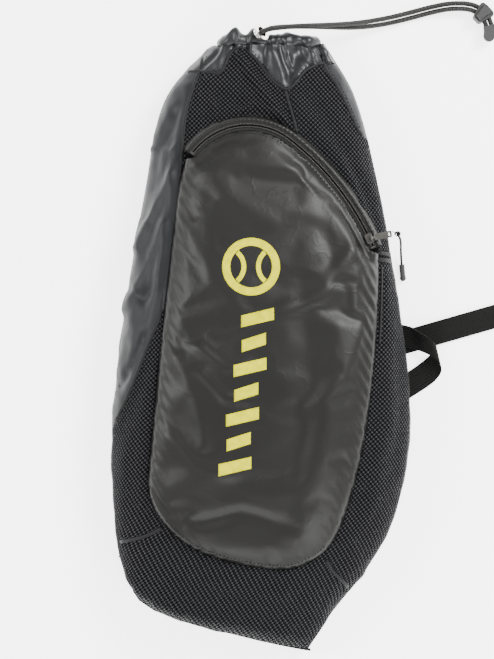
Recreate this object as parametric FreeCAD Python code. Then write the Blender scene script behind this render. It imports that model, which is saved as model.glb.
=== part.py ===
"""Racket backpack: a soft drawstring bag that lies on its back, front pocket up.

Millimetres. +Z up, +Y towards the mouth, +X to the wearer's right. The origin is on
the flat underside of the back panel. Every soft piece is a plain closed solid.
"""

import math
import os

import FreeCAD
import Part

V = FreeCAD.Vector
UP = V(0, 0, 1)

# ---------------------------------------------------------------- driving sizes
# Body sections from the base to the mouth: y, left edge, right edge, height.
STATIONS = (
    (-336.0, -128.0, 46.0, 50.0),
    (-290.0, -140.0, 76.0, 60.0),
    (-250.0, -149.0, 108.0, 69.0),
    (-200.0, -156.0, 137.0, 77.0),
    (-120.0, -160.0, 156.0, 85.0),
    (-30.0, -154.0, 155.0, 87.0),
    (70.0, -140.0, 140.0, 82.0),
    (160.0, -124.0, 124.0, 73.0),
    (235.0, -110.0, 106.0, 61.0),
    (275.0, -89.0, 90.0, 52.0),
    (302.0, -62.0, 73.0, 47.0),
    (320.0, -46.0, 63.0, 46.0),
)
SECTION_POWER = 2.6          # squareness of the domed top
SIDE_SHARE = 0.28            # height of the widest line over the section height
SIDE_ROUND = 24.0            # flat underside stops this far inside the widest line
WALL = 2.0                   # sewn fabric of the sides and front
BACK_WALL = 3.0              # padded back panel
BACK_SEAM_Z = 18.0           # seam between the back panel and the sides
BASE_LEFT = (-190.0, -254.0)  # arc that ends the base, in plan
BASE_MID = (-48.0, -310.0)
BASE_RIGHT = (90.0, -338.0)
PIPING_D = 3.0

# Front pocket and its zip; the zip lies in one level plane.
POCKET_RISE = 10.0           # pocket front above the body
POCKET_WALL = 1.6
ZIP_LEVEL = 5 / 6            # zip tapes over the height of the body at its tallest
ZIP_Z = ZIP_LEVEL * max(s[3] for s in STATIONS)
ZIP_R = 280.0                # long right flank of the zip
ZIP_TOP_R = 72.0             # arc over the top of the pocket
ZIP_END = (116.0, 94.0)     # lower right end of the zip
ZIP_JOIN = (29.0, 207.0)     # where the flank meets the top arc
ZIP_TOP_TURN = 92.0          # degrees of the top arc
TAPE_T = 1.0
TAPE_END_LIFT = 4.2          # tape ends above the body's nominal height
TAPE_GAP = 0.8               # half the gap between the two tapes
COIL_W = 1.6
COIL_H = 1.6
CHANNEL = 4.5                # half width kept free for the slider
FACING_T = 2.0
ZIP_FIT = 0.3                # slider to coil and tape
SLIDER_W = 8.0
SLIDER_L = 11.0
SLIDER_PLATE = 1.3
SLIDER_SET_BACK = 2.2        # degrees from the slider to the end of the flank
STOP_ANGLE = 0.5             # degrees of zip taken by a stop

# Pull: tab, wire ring, cord and grip.
TAB_DIR = 13.0               # degrees from +X in plan
TAB_DROP = 35.0              # degrees below level
TAB_L = 25.0
TAB_W = 7.0
TAB_T = 1.2
CROWN_D = 1.4                # bar of the slider's crown
CROWN_SPAN = 4.4
CROWN_RISE = 3.4
RING_D = 9.0
RING_WIRE = 0.9
PULL_CORD_D = 2.6
GRIP_D = 7.0
EYE_FIT = 0.08               # tab's eye round the crown bar
CROWN_AHEAD = 2.0            # bar ahead of the slider's middle, towards the tab
TAB_EYE = 1.7                # radius of the hole for the ring
RING_TILT = 42.0             # degrees the ring leans over in the tab's hole
GRIP_L = 19.0
PULL_ROUTE = (               # from the ring down the side of the bag to the floor
    (141.7, 109.6, 58.2), (144.9, 105.8, 49.0), (146.6, 101.5, 37.5), (147.4, 97.0, 26.0),
    (148.1, 92.6, 15.5), (148.8, 87.0, 7.8), (149.6, 78.5, 4.6),
)

# Mouth: hem ring, grommet and cords.
HEM_Y = 313.0
HEM_D = 12.0
TUNNEL_D = 7.6
HEM_CENTRE = (8.0, 24.0)     # x, z of the ring's middle
HEM_HALF = (36.0, 4.0)       # half of the straight runs along x and z
HEM_CORNER = 13.0
CORD_D = 5.3
GROMMET_AT = (-1.3, 321.4, 51.1)
GROMMET_AXIS = (0.72, 0.42, 0.55)
GROMMET_OD = 19.0
GROMMET_ID = 2 * CORD_D + 2.4
GROMMET_T = 1.8
BOSS_L = 9.0                 # gathered cloth behind the grommet
DRAW_A = (
    (-6.2, 318.5, 50.7), (3.4, 323.6, 58.0), (17.0, 325.2, 61.6), (33.0, 326.6, 60.6),
    (50.0, 328.0, 55.5), (69.0, 329.8, 46.0), (90.0, 332.3, 34.0), (112.0, 336.2, 22.5),
    (134.0, 341.2, 12.8), (156.0, 347.2, 7.0), (179.0, 353.4, 7.4), (201.0, 357.4, 12.5),
)
DRAW_B = (
    (-3.5, 320.1, 45.9), (4.6, 324.8, 52.0), (16.5, 326.4, 55.6), (32.0, 327.2, 54.6),
    (49.6, 327.8, 49.4), (69.0, 328.4, 39.8), (90.0, 329.0, 28.0), (112.0, 331.4, 16.8),
    (134.0, 335.8, 8.0), (157.0, 341.6, 4.6), (180.0, 347.8, 6.8), (201.0, 351.6, 12.5),
)
LOCK_ARC_R = 27.0            # radius of the cord bend that the lock rides on
LOCK_ARC_C = (216.0, 327.0)  # its centre in plan
CORD_PAIR = CORD_D + 0.4     # spacing of the two strands, centre to centre
LOCK_CORD_Z = 12.5
BEND_START = 88.0            # degrees: where the bend begins and ends
BEND_END = 14.0
LOCK_AT = 44.0
LOCK_HALF = 16.0             # half of the lock's length, degrees of the bend
LOCK_REACH = 9.5             # half of its width
LOCK_Z = (0.5, 18.2)
LOCK_FLOOR = 1.4
LOCK_FIT = 0.5               # bore round the cords
PLUNGER_HALF = 9.0
PLUNGER_REACH = 7.4
PLUNGER_FIT = 0.25
PINCH = 0.15                 # plunger to the cords at rest
BUTTON_TRAVEL = 3.2
BUTTON_CAP = 1.8
SPRING_D = 6.0
SPRING_WIRE = 0.8
SLEEVE_END = -10.0           # where the end sleeve's round tip has its middle
SLEEVE_SKIN = 0.6

# Shoulder straps (right side; the left one is the mirror image).
STRAP_TOP_Y = 264.0
STRAP_END_Y = 4.0
STRAP_OUT = (60.0, 82.0, 112.0)   # x of the outer edge: top, middle, end
STRAP_IN = (14.0, 34.0, 66.0)     # x of the inner edge
STRAP_MID_Y = 145.0
STRAP_Z0 = 0.6
STRAP_T = 10.0
STRAP_COVER = 1.2
CHANNEL_SIDE = 4.0
CHANNEL_TOP = 12.6
CHANNEL_SKIN = 2.6
YOKE_Y = (265.0, 283.0)
YOKE_HALF = 62.0
YOKE_T = 3.4
WEB_W = 25.0
WEB_T = 1.4
WEB_Z = 0.4                  # underside of webbing on the floor
WEB_SLOT = 2.4               # height left under the back panel for webbing
LOCK_FRAME = (32.0, 22.0, 4.2)    # ladder lock: width, length, thickness
LADDER_Z = 2.0
LADDER_Y = (-20.0, 2.0)
LADDER_BAR = 4.0
LADDER_SIDE = 3.0
LADDER_X = 89.0


# ---------------------------------------------------------------- small helpers
def save(shape, node):
    """Write one node."""
    if not shape.isValid():
        print("INVALID", node)
    shape.exportStep("parts/" + node + ".step")
    print(f"{node:24s} solids {len(shape.Solids)} volume {shape.Volume:12.1f}")


def one(shape):
    """The single solid inside a boolean result."""
    return shape.Solids[0] if len(shape.Solids) == 1 else shape


def polygon(points):
    """Closed wire through plan points."""
    loop = [V(x, y, 0) for x, y in points]
    return Part.makePolygon(loop + [loop[0]])


def prism(wire, z0, z1):
    """Upright prism on a plan wire."""
    face = Part.Face(wire)
    face.translate(V(0, 0, z0))
    return face.extrude(V(0, 0, z1 - z0))


def box(x0, x1, y0, y1, z0, z1):
    """Box between two corners."""
    return Part.makeBox(x1 - x0, y1 - y0, z1 - z0, V(x0, y0, z0))


def mirrored(shape):
    """Mirror image for the left side."""
    return shape.mirror(V(0, 0, 0), V(1, 0, 0))


def polar(centre, radius, degrees):
    """Plan point at an angle round a centre."""
    a = math.radians(degrees)
    return centre[0] + radius * math.cos(a), centre[1] + radius * math.sin(a)


def sector(centre, r0, r1, a0, a1, z0, z1):
    """Flat ring sector between two radii and two angles."""
    mid = (a0 + a1) / 2
    corners = [polar(centre, r, a) for r, a in ((r0, a0), (r1, a0), (r1, a1), (r0, a1))]
    p, q, s, t = [V(x, y, 0) for x, y in corners]
    outer = V(*polar(centre, r1, mid), 0)
    inner = V(*polar(centre, r0, mid), 0)
    edges = [
        Part.makeLine(p, q),
        Part.Arc(q, outer, s).toShape(),
        Part.makeLine(s, t),
        Part.Arc(t, inner, p).toShape(),
    ]
    return prism(Part.Wire(edges), z0, z1)


def route_wire(points, label):
    """Straight runs joined by tangent arcs, each as large as its two runs allow."""
    pts = [V(*p) for p in points]
    edges = []
    here = pts[0]
    radii = []
    for before, at, after in zip(pts, pts[1:], pts[2:]):
        back = (before - at).normalize()
        on = (after - at).normalize()
        turn = math.pi - back.getAngle(on)
        reach = 0.45 * min((at - before).Length, (after - at).Length)
        radii.append(reach / math.tan(turn / 2))
        enter = at + back * reach
        leave = at + on * reach
        middle = (back + on).normalize()
        sag = radii[-1] / math.cos(turn / 2) - radii[-1]
        if (enter - here).Length > 1e-4:
            edges.append(Part.makeLine(here, enter))
        edges.append(Part.Arc(enter, at + middle * sag, leave).toShape())
        here = leave
    edges.append(Part.makeLine(here, pts[-1]))
    print(label, "radii", [round(r, 1) for r in radii])
    return Part.Wire(edges)


def cord(wire, diameter):
    """Round cord along a wire."""
    first = wire.Edges[0]
    start = first.valueAt(first.FirstParameter)
    tangent = first.tangentAt(first.FirstParameter)
    ring = Part.Wire(Part.makeCircle(diameter / 2, start, tangent))
    return wire.makePipeShell([ring], True, False)


def band(frames, width=WEB_W, thick=WEB_T):
    """Webbing through frames; each is its middle, its width and its face direction."""
    rings = []
    for centre, across, face in frames:
        c = V(*centre)
        w = V(*across).normalize() * (width / 2)
        t = V(*face).normalize() * (thick / 2)
        rings.append(Part.makePolygon([c - w - t, c + w - t, c + w + t, c - w + t, c - w - t]))
    return Part.makeLoft(rings, True, True)


# ---------------------------------------------------------------- body of the bag
def section(y, left, right, height, grow):
    """One closed section: level underside below the floor, domed top."""
    centre = (left + right) / 2
    half = (right - left) / 2 + grow
    top = height + grow
    side = SIDE_SHARE * height
    flat = half - SIDE_ROUND
    below = -4.0
    points = [V(centre + flat, y, below), V(centre + half - SIDE_ROUND * 0.28, y, side * 0.25)]
    for degrees in (0, 22, 42, 62, 90, 118, 138, 158, 180):
        a = math.radians(degrees)
        x = math.copysign(abs(math.cos(a)) ** (2 / SECTION_POWER), math.cos(a)) * half
        z = side + (top - side) * abs(math.sin(a)) ** (2 / SECTION_POWER)
        points.append(V(centre + x, y, z))
    points.append(V(centre - half + SIDE_ROUND * 0.28, y, side * 0.25))
    points.append(V(centre - flat, y, below))
    curve = Part.BSplineCurve()
    curve.interpolate(points)
    return Part.Wire([curve.toShape(), Part.makeLine(points[-1], points[0])])


def body_height(x, y):
    """Nominal height of the domed body over a plan point, between two stations."""
    for low, high in zip(STATIONS, STATIONS[1:]):
        if low[0] <= y <= high[0]:
            share = (y - low[0]) / (high[0] - low[0])
            left, right, height = [a + share * (b - a) for a, b in zip(low[1:], high[1:])]
            half = (right - left) / 2
            u = min(abs(x - (left + right) / 2) / half, 0.999)
            side = SIDE_SHARE * height
            return side + (height - side) * (1 - u ** SECTION_POWER) ** (1 / SECTION_POWER)
    raise ValueError("outside the body")


def plan_limit(grow):
    """Plan outline that gives the base its skewed end; grow moves the end outwards."""
    def moved(point):
        return V(point[0] - 0.3 * grow, point[1] - 0.95 * grow, 0)

    left, mid, right = moved(BASE_LEFT), moved(BASE_MID), moved(BASE_RIGHT)
    far = STATIONS[-1][0] + 30
    corners = [right, V(260, right.y, 0), V(260, far, 0), V(-260, far, 0), V(-260, left.y, 0), left]
    edges = [Part.Arc(left, mid, right).toShape()]
    edges += [Part.makeLine(a, b) for a, b in zip(corners, corners[1:])]
    return Part.Wire(edges)


def form(grow, floor):
    """Solid outer shape of the body, grown by some millimetres, above a floor height."""
    body = Part.makeLoft([section(*s, grow) for s in STATIONS], True, False)
    body = body.common(prism(plan_limit(grow), floor, 200))
    return one(body)


def seam_regions():
    """Plan regions of the sewn panels, in the order in which they are cut out."""
    collar = polygon([
        (-150, 284), (-60, 281), (-44, 279), (-31, 303), (-14, 302), (24, 261),
        (58, 289), (150, 293), (150, 360), (-150, 360),
    ])
    base = polygon([
        (-190, -226), (-153, -216), (-119, -206), (-96, -190), (-60, -150), (40, -150),
        (67, -232), (90, -262), (112, -300), (112, -400), (-190, -400),
    ])
    left_side = polygon([
        (-200, 300), (-62, 300), (-66, 282), (-76, 252), (-82, 220), (-87, 146),
        (-93, 100), (-100, 40), (-119, -7), (-143, -66), (-170, -118), (-200, -118),
    ])
    left_mesh = polygon([(-200, 60), (-60, 60), (-60, -300), (-200, -300)])
    strip = polygon([(64, 300), (66, 286), (80, 265), (92, 240), (108, 212), (160, 212), (160, 300)])
    front = polygon([(-120, 330), (24, 330), (24, 261), (40, 199), (40, 100), (-120, 100)])
    return collar, base, left_side, left_mesh, strip, front


# ---------------------------------------------------------------- zip and pocket lines
def arc_centre():
    """Centre of the long zip flank, on the pocket's side of the chord."""
    ex, ey = ZIP_END
    jx, jy = ZIP_JOIN
    mx, my = (ex + jx) / 2, (ey + jy) / 2
    half = math.hypot(ex - jx, ey - jy) / 2
    reach = math.sqrt(ZIP_R ** 2 - half ** 2)
    nx, ny = (ey - jy) / (2 * half), (jx - ex) / (2 * half)
    return mx + nx * reach, my + ny * reach


FLANK_C = arc_centre()
FLANK_END = math.degrees(math.atan2(ZIP_END[1] - FLANK_C[1], ZIP_END[0] - FLANK_C[0]))
FLANK_JOIN = math.degrees(math.atan2(ZIP_JOIN[1] - FLANK_C[1], ZIP_JOIN[0] - FLANK_C[0]))
TOP_C = polar(ZIP_JOIN, -ZIP_TOP_R, FLANK_JOIN)
TOP_END = FLANK_JOIN + ZIP_TOP_TURN
EDGE = CHANNEL + FACING_T    # pocket outline outside the middle of the zip


def pocket_wire(inset):
    """Pocket outline: two zip arcs, then one curve round the sewn edge."""
    r = EDGE - inset
    end = V(*polar(FLANK_C, ZIP_R + r, FLANK_END), 0)
    flank_mid = V(*polar(FLANK_C, ZIP_R + r, (FLANK_END + FLANK_JOIN) / 2), 0)
    join = V(*polar(FLANK_C, ZIP_R + r, FLANK_JOIN), 0)
    top_mid = V(*polar(TOP_C, ZIP_TOP_R + r, (FLANK_JOIN + TOP_END) / 2), 0)
    top = V(*polar(TOP_C, ZIP_TOP_R + r, TOP_END), 0)
    i = inset
    sewn = [top] + [V(x, y, 0) for x, y in (
        (-90 + i, 128), (-99 + i, 50), (-108 + i, -34), (-116 + i, -119), (-118 + i, -160),
        (-102 + 0.7 * i, -194 + 0.7 * i), (-62 + 0.3 * i, -224 + i), (10, -241 + i),
        (50 - 0.4 * i, -233 + i), (77 - 0.8 * i, -206 + 0.6 * i), (99 - i, -140),
        (112 - i, -66), (118 - i, 30),
    )] + [end]
    curve = Part.BSplineCurve()
    curve.interpolate(sewn)
    return Part.Wire([
        Part.Arc(end, flank_mid, join).toShape(),
        Part.Arc(join, top_mid, top).toShape(),
        curve.toShape(),
    ])


def along_zip(r0, r1, z0, z1, start=0.0, stop=0.0):
    """Both arcs of the zip as one band between two offsets from its middle line."""
    flank = sector(FLANK_C, ZIP_R + r0, ZIP_R + r1, FLANK_END + start, FLANK_JOIN, z0, z1)
    top = sector(TOP_C, ZIP_TOP_R + r0, ZIP_TOP_R + r1, FLANK_JOIN, TOP_END - stop, z0, z1)
    return flank.fuse(top).removeSplitter()


# ---------------------------------------------------------------- straps, in plan
def strap_wire(margin):
    """Right shoulder strap outline, grown by a margin."""
    mid_in = V(STRAP_IN[1] - margin, STRAP_MID_Y, 0)
    mid_out = V(STRAP_OUT[1] + margin, STRAP_MID_Y, 0)
    top_in = V(STRAP_IN[0] - margin, STRAP_TOP_Y + margin, 0)
    top_out = V(STRAP_OUT[0] + margin, STRAP_TOP_Y + margin, 0)
    end_in = V(STRAP_IN[2] - margin, STRAP_END_Y - margin, 0)
    end_out = V(STRAP_OUT[2] + margin, STRAP_END_Y - margin, 0)
    return Part.Wire([
        Part.makeLine(top_in, top_out),
        Part.Arc(top_out, mid_out, end_out).toShape(),
        Part.makeLine(end_out, end_in),
        Part.Arc(end_in, mid_in, top_in).toShape(),
    ])


def strap_space(margin, top):
    """Room under the bag for a strap, its ladder lock and the yoke."""
    room = prism(strap_wire(margin), -5, top)
    half = LOCK_FRAME[0] / 2 + margin + 3
    lock = box(LADDER_X - half, LADDER_X + half, LADDER_Y[0] - 14 - margin, STRAP_END_Y + 1, -5, top)
    return room.fuse(lock)


def yoke_space(margin, top):
    """Room for the yoke that joins both straps."""
    y0, y1 = YOKE_Y
    return box(-YOKE_HALF - margin, YOKE_HALF + margin, y0 - 8, y1 + margin, -5, top)


# ---------------------------------------------------------------- sub-parts of the body
def body_panels():
    """Back panel, sewn panels, pocket lining and collar, all cut from one skin."""
    outer = form(0, 0)
    inner = form(-WALL, BACK_WALL)
    mouth = box(-60, 60, STATIONS[-1][0] - 8, STATIONS[-1][0] + 20, BACK_WALL, 120)
    skin = outer.cut(inner).cut(inner.common(mouth))
    tray = skin.common(box(-300, 300, -400, HEM_Y - HEM_D / 2, -1, BACK_SEAM_Z))
    ridge = strap_space(CHANNEL_SIDE + CHANNEL_SKIN, CHANNEL_TOP + CHANNEL_SKIN)
    ridge = ridge.fuse(mirrored(ridge)).fuse(yoke_space(CHANNEL_SIDE + CHANNEL_SKIN, CHANNEL_TOP + CHANNEL_SKIN))
    room = strap_space(CHANNEL_SIDE, CHANNEL_TOP)
    room = room.fuse(mirrored(room)).fuse(yoke_space(CHANNEL_SIDE, CHANNEL_TOP))
    slots = box(60, 200, -112, -6 + WEB_W, -5, WEB_SLOT).fuse(box(-135, -48, -150, 0, -5, WEB_SLOT))
    back = tray.fuse(ridge.common(outer)).cut(room).cut(slots)
    save(one(back.removeSplitter()), "back_panel")

    rest = skin.common(box(-300, 300, -400, HEM_Y - HEM_D / 2, BACK_SEAM_Z, 200))
    collar, base, left_side, left_mesh, strip, front = [prism(w, 0, 200) for w in seam_regions()]
    save(one(rest.common(collar)), "mouth_collar")
    rest = rest.cut(collar)
    footprint = prism(pocket_wire(0), 0, 200)
    save(one(rest.common(footprint)), "pocket_lining")
    rest = rest.cut(footprint)
    for region, node in (
        (base, "base_mesh_panel"), (left_side, "left_side_panel"), (left_mesh, "left_mesh_panel"),
        (strip, "right_side_strip"), (front, "upper_front_mesh"),
    ):
        save(one(rest.common(region)), node)
        rest = rest.cut(region)
    save(one(rest), "right_mesh_panel")
    return outer


def pocket(outer):
    """Pocket front, its zip facing and the piping down its right edge."""
    raised = form(POCKET_RISE, 0)
    hollow = form(POCKET_RISE - POCKET_WALL, 0).common(prism(pocket_wire(POCKET_WALL), 0, 200))
    block = raised.common(prism(pocket_wire(0), 0, 200)).cut(outer)
    zip_room = along_zip(-CHANNEL, CHANNEL, 0, 200, -1.5, -2.0)
    above = along_zip(-CHANNEL - 6, EDGE + 4, ZIP_Z - TAPE_T, 200, -1.5, -2.0)
    shell = block.cut(hollow).cut(above).cut(zip_room)
    outside = along_zip(CHANNEL - 0.5, EDGE + 4, 0, 200, -1.5, -2.0)
    facing = shell.common(outside)
    front = shell.cut(outside)
    save(one(front), "pocket_panel")
    save(one(facing), "pocket_facing")


def zip_parts():
    """Tapes, coils, stops and the two tape ends below the slider."""
    top = ZIP_Z
    for side, node in ((1, "outer"), (-1, "inner")):
        edges = sorted((side * TAPE_GAP, side * (EDGE if side > 0 else CHANNEL + 5)))
        save(one(along_zip(*edges, top - TAPE_T, top)), "zip_tape_" + node)
        edges = sorted((side * TAPE_GAP, side * (TAPE_GAP + COIL_W)))
        coil = along_zip(*edges, top, top + COIL_H, STOP_ANGLE, 2.0)
        save(one(coil), "zip_coil_" + node)
    reach = TAPE_GAP + COIL_W
    low = sector(FLANK_C, ZIP_R - reach, ZIP_R + reach, FLANK_END, FLANK_END + STOP_ANGLE - 0.1, top, top + 2)
    high = sector(TOP_C, ZIP_TOP_R - reach, ZIP_TOP_R + reach, TOP_END - 1.8, TOP_END, top, top + 2)
    save(Part.makeCompound([low, high]), "zip_stops")
    x, y = polar(FLANK_C, ZIP_R + EDGE + 1.0, FLANK_END)
    ends = []
    for drop in (1.0, 8.0):
        frames = []
        for out in (0.0, 4.0, 8.0, 12.0):
            ey = y - drop - 0.1 * out
            lift = TAPE_END_LIFT + body_height(x + out, ey)
            slope = (body_height(x + out - 1, ey) - body_height(x + out + 1, ey)) / 2
            frames.append(((x + out, ey, lift), (0, 1, 0), (slope, 0, 1)))
        ends.append(band(frames, 4.5, TAPE_T))
    save(Part.makeCompound(ends), "zip_tape_ends")


# ---------------------------------------------------------------- slider and pull
SLIDER_ANGLE = FLANK_END + SLIDER_SET_BACK
SLIDER_AT = polar(FLANK_C, ZIP_R, SLIDER_ANGLE)
PLATE_Z = ZIP_Z + COIL_H + ZIP_FIT
BAR_Z = PLATE_Z + SLIDER_PLATE + CROWN_RISE
TAB_PLAN = V(math.cos(math.radians(TAB_DIR)), math.sin(math.radians(TAB_DIR)), 0)
TAB_ACROSS = V(-TAB_PLAN.y, TAB_PLAN.x, 0)
DROP = math.radians(TAB_DROP)
TAB_LINE = TAB_PLAN * math.cos(DROP) - UP * math.sin(DROP)
BAR_AT = V(SLIDER_AT[0], SLIDER_AT[1], BAR_Z) + TAB_PLAN * CROWN_AHEAD


def slider():
    """Slider on the coil: two plates, a neck between the coils and a crown bar."""
    def plate(z, length):
        block = Part.makeBox(SLIDER_W, length, SLIDER_PLATE, V(-SLIDER_W / 2, -length / 2, z))
        upright = [e for e in block.Edges if abs(e.Vertexes[0].Z - e.Vertexes[1].Z) > 1]
        return block.makeFillet(2.2, upright)

    low = ZIP_Z - TAPE_T - ZIP_FIT - SLIDER_PLATE
    neck = Part.makeBox(TAPE_GAP, 4, PLATE_Z - low, V(-TAPE_GAP / 2, 0.5, low))
    body = plate(PLATE_Z, SLIDER_L).fuse(plate(low, SLIDER_L - 2)).fuse(neck)
    body.rotate(V(0, 0, 0), UP, SLIDER_ANGLE)
    body.translate(V(SLIDER_AT[0], SLIDER_AT[1], 0))
    half = TAB_ACROSS * (CROWN_SPAN / 2)
    crown = Part.makeCylinder(CROWN_D / 2, CROWN_SPAN, BAR_AT - half, TAB_ACROSS)
    for end in (-1, 1):
        foot = BAR_AT + half * end
        foot.z = PLATE_Z + 0.4
        post = Part.makeCylinder(CROWN_D / 2, BAR_Z - foot.z, foot, UP)
        ball = Part.makeSphere(CROWN_D / 2, BAR_AT + half * end)
        crown = crown.fuse(post).fuse(ball)
    save(one(body.fuse(crown).removeSplitter()), "slider_body")


def pull_tab():
    """Flat tab with an eye round the crown bar and a hole for the ring."""
    eye = CROWN_D / 2 + EYE_FIT
    wide = CROWN_SPAN - CROWN_D - 0.8
    tab = Part.makeBox(TAB_L - 1, TAB_W, TAB_T, V(3.2, -TAB_W / 2, -TAB_T / 2))
    corners = [e for e in tab.Edges if abs(e.Vertexes[0].Z - e.Vertexes[1].Z) > TAB_T / 2]
    tab = tab.makeFillet(1.6, corners)
    arm = Part.makeBox(4.5, wide, TAB_T, V(0, -wide / 2, -TAB_T / 2))
    roll = Part.makeCylinder(eye + 0.8, wide, V(0, -wide / 2, 0), V(0, 1, 0))
    bore = Part.makeCylinder(eye, 2 * wide, V(0, -wide, 0), V(0, 1, 0))
    hole = Part.makeCylinder(TAB_EYE, 4, V(TAB_L - TAB_EYE + 0.4, 0, -2))
    tab = tab.fuse(arm).fuse(roll).cut(bore).cut(hole)
    tab.rotate(V(0, 0, 0), V(0, 1, 0), TAB_DROP)
    tab.rotate(V(0, 0, 0), UP, TAB_DIR)
    tab.translate(BAR_AT)
    save(one(tab.removeSplitter()), "pull_tab")


TAB_HOLE = BAR_AT + TAB_LINE * (TAB_L - TAB_EYE + 0.4)
TAB_FACE = TAB_PLAN * math.sin(DROP) + UP * math.cos(DROP)
RING_C = TAB_HOLE + TAB_LINE * (RING_D / 2 - 0.3)
LEAN = math.radians(RING_TILT)
RING_AXIS = TAB_ACROSS * math.cos(LEAN) + TAB_FACE * math.sin(LEAN)


def pull_end():
    """Wire ring through the tab, cord looped on the ring, moulded grip."""
    save(Part.makeTorus(RING_D / 2, RING_WIRE / 2, RING_C, RING_AXIS), "pull_ring")
    far = RING_C + TAB_LINE * (RING_D / 2 + RING_WIRE / 2 + PULL_CORD_D / 2 + 0.1)
    print("pull cord hangs from", far)
    tube = cord(route_wire(PULL_ROUTE, "pull_cord"), PULL_CORD_D)
    end = V(*PULL_ROUTE[-1])
    way = (end - V(*PULL_ROUTE[-2])).normalize()
    way.z = 0
    grip = Part.makeCylinder(GRIP_D / 2 - 0.6, GRIP_L - GRIP_D / 2, end, way)
    grip = grip.fuse(Part.makeSphere(GRIP_D / 2 - 0.1, end + way * (GRIP_L - GRIP_D / 2)))
    save(one(grip.removeSplitter()), "pull_grip")
    save(one(tube.cut(grip)), "pull_cord")


# ---------------------------------------------------------------- mouth
def ring_path(grow=0.0):
    """Rounded rectangle in the plane of the mouth, as a wire in x and z."""
    cx, cz = HEM_CENTRE
    hx, hz = HEM_HALF
    r = HEM_CORNER + grow
    s = math.sqrt(0.5) * r
    y = HEM_Y
    corners = []
    for sx, sz in ((1, 1), (-1, 1), (-1, -1), (1, -1)):
        c = (cx + sx * hx, cz + sz * hz)
        corners.append((c, sx, sz))
    edges = []
    points = []
    for k, (c, sx, sz) in enumerate(corners):
        first = V(c[0] + (r * sx if sx * sz > 0 else 0), y, c[1] + (0 if sx * sz > 0 else r * sz))
        last = V(c[0] + (0 if sx * sz > 0 else r * sx), y, c[1] + (r * sz if sx * sz > 0 else 0))
        mid = V(c[0] + s * sx, y, c[1] + s * sz)
        points.append((first, mid, last))
    for k, (first, mid, last) in enumerate(points):
        edges.append(Part.Arc(first, mid, last).toShape())
        edges.append(Part.makeLine(last, points[(k + 1) % 4][0]))
    return edges


def ring_solid(diameter):
    """Tube of a diameter round the whole mouth."""
    wire = Part.Wire(ring_path())
    edge = wire.Edges[0]
    start = edge.valueAt(edge.FirstParameter)
    tangent = edge.tangentAt(edge.FirstParameter)
    circle = Part.Wire(Part.makeCircle(diameter / 2, start, tangent))
    return wire.makePipeShell([circle], True, False)


def mouth():
    """Gathered hem with its tunnel, the cord inside it, the grommet and its washer."""
    axis = V(*GROMMET_AXIS).normalize()
    at = V(*GROMMET_AT)
    boss = Part.makeCylinder(GROMMET_OD / 2 + 1.0, BOSS_L, at - axis * BOSS_L, axis)
    bore = Part.makeCylinder(GROMMET_ID / 2 + 0.2, 16, at - axis * 15, axis)
    hem = ring_solid(HEM_D).fuse(boss).cut(ring_solid(TUNNEL_D)).cut(bore)
    save(one(hem), "collar_hem")
    inside = ring_solid(CORD_D)
    gap = Part.makeCylinder(GROMMET_ID / 2 + 2, 40, at - axis * 30, axis)
    save(one(inside.cut(gap)), "tunnel_cord")
    flange = Part.makeCylinder(GROMMET_OD / 2, GROMMET_T, at, axis)
    collar = Part.makeCylinder(GROMMET_ID / 2 + 0.1, GROMMET_T + 4, at - axis * 4, axis)
    hole = Part.makeCylinder(GROMMET_ID / 2 - 0.7, GROMMET_T + 12, at - axis * 6, axis)
    save(one(flange.fuse(collar).cut(hole).removeSplitter()), "grommet")


def draw_cords():
    """Both strands of the drawcord, from the grommet round the bend to the sleeve."""
    for points, offset, node in ((DRAW_A, 1, "draw_cord_a"), (DRAW_B, -1, "draw_cord_b")):
        radius = LOCK_ARC_R + offset * CORD_PAIR / 2
        bend = [
            V(*polar(LOCK_ARC_C, radius, a), LOCK_CORD_Z)
            for a in (BEND_START, (BEND_START + BEND_END) / 2, BEND_END)
        ]
        lead = route_wire(list(points) + [tuple(bend[0])], node)
        wire = Part.Wire(lead.Edges + [Part.Arc(*bend).toShape()])
        tube = cord(wire, CORD_D)
        share = tube.Volume / (math.pi * CORD_D ** 2 / 4 * wire.Length)
        print(node, "length", round(wire.Length, 1), "volume share", round(share, 4))
        save(tube, node)


def lock_sector(reach, half, z0, z1):
    """Block that follows the cord bend, centred on the lock's place."""
    r = LOCK_ARC_R
    return sector(LOCK_ARC_C, r - reach, r + reach, LOCK_AT - half, LOCK_AT + half, z0, z1)


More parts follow.
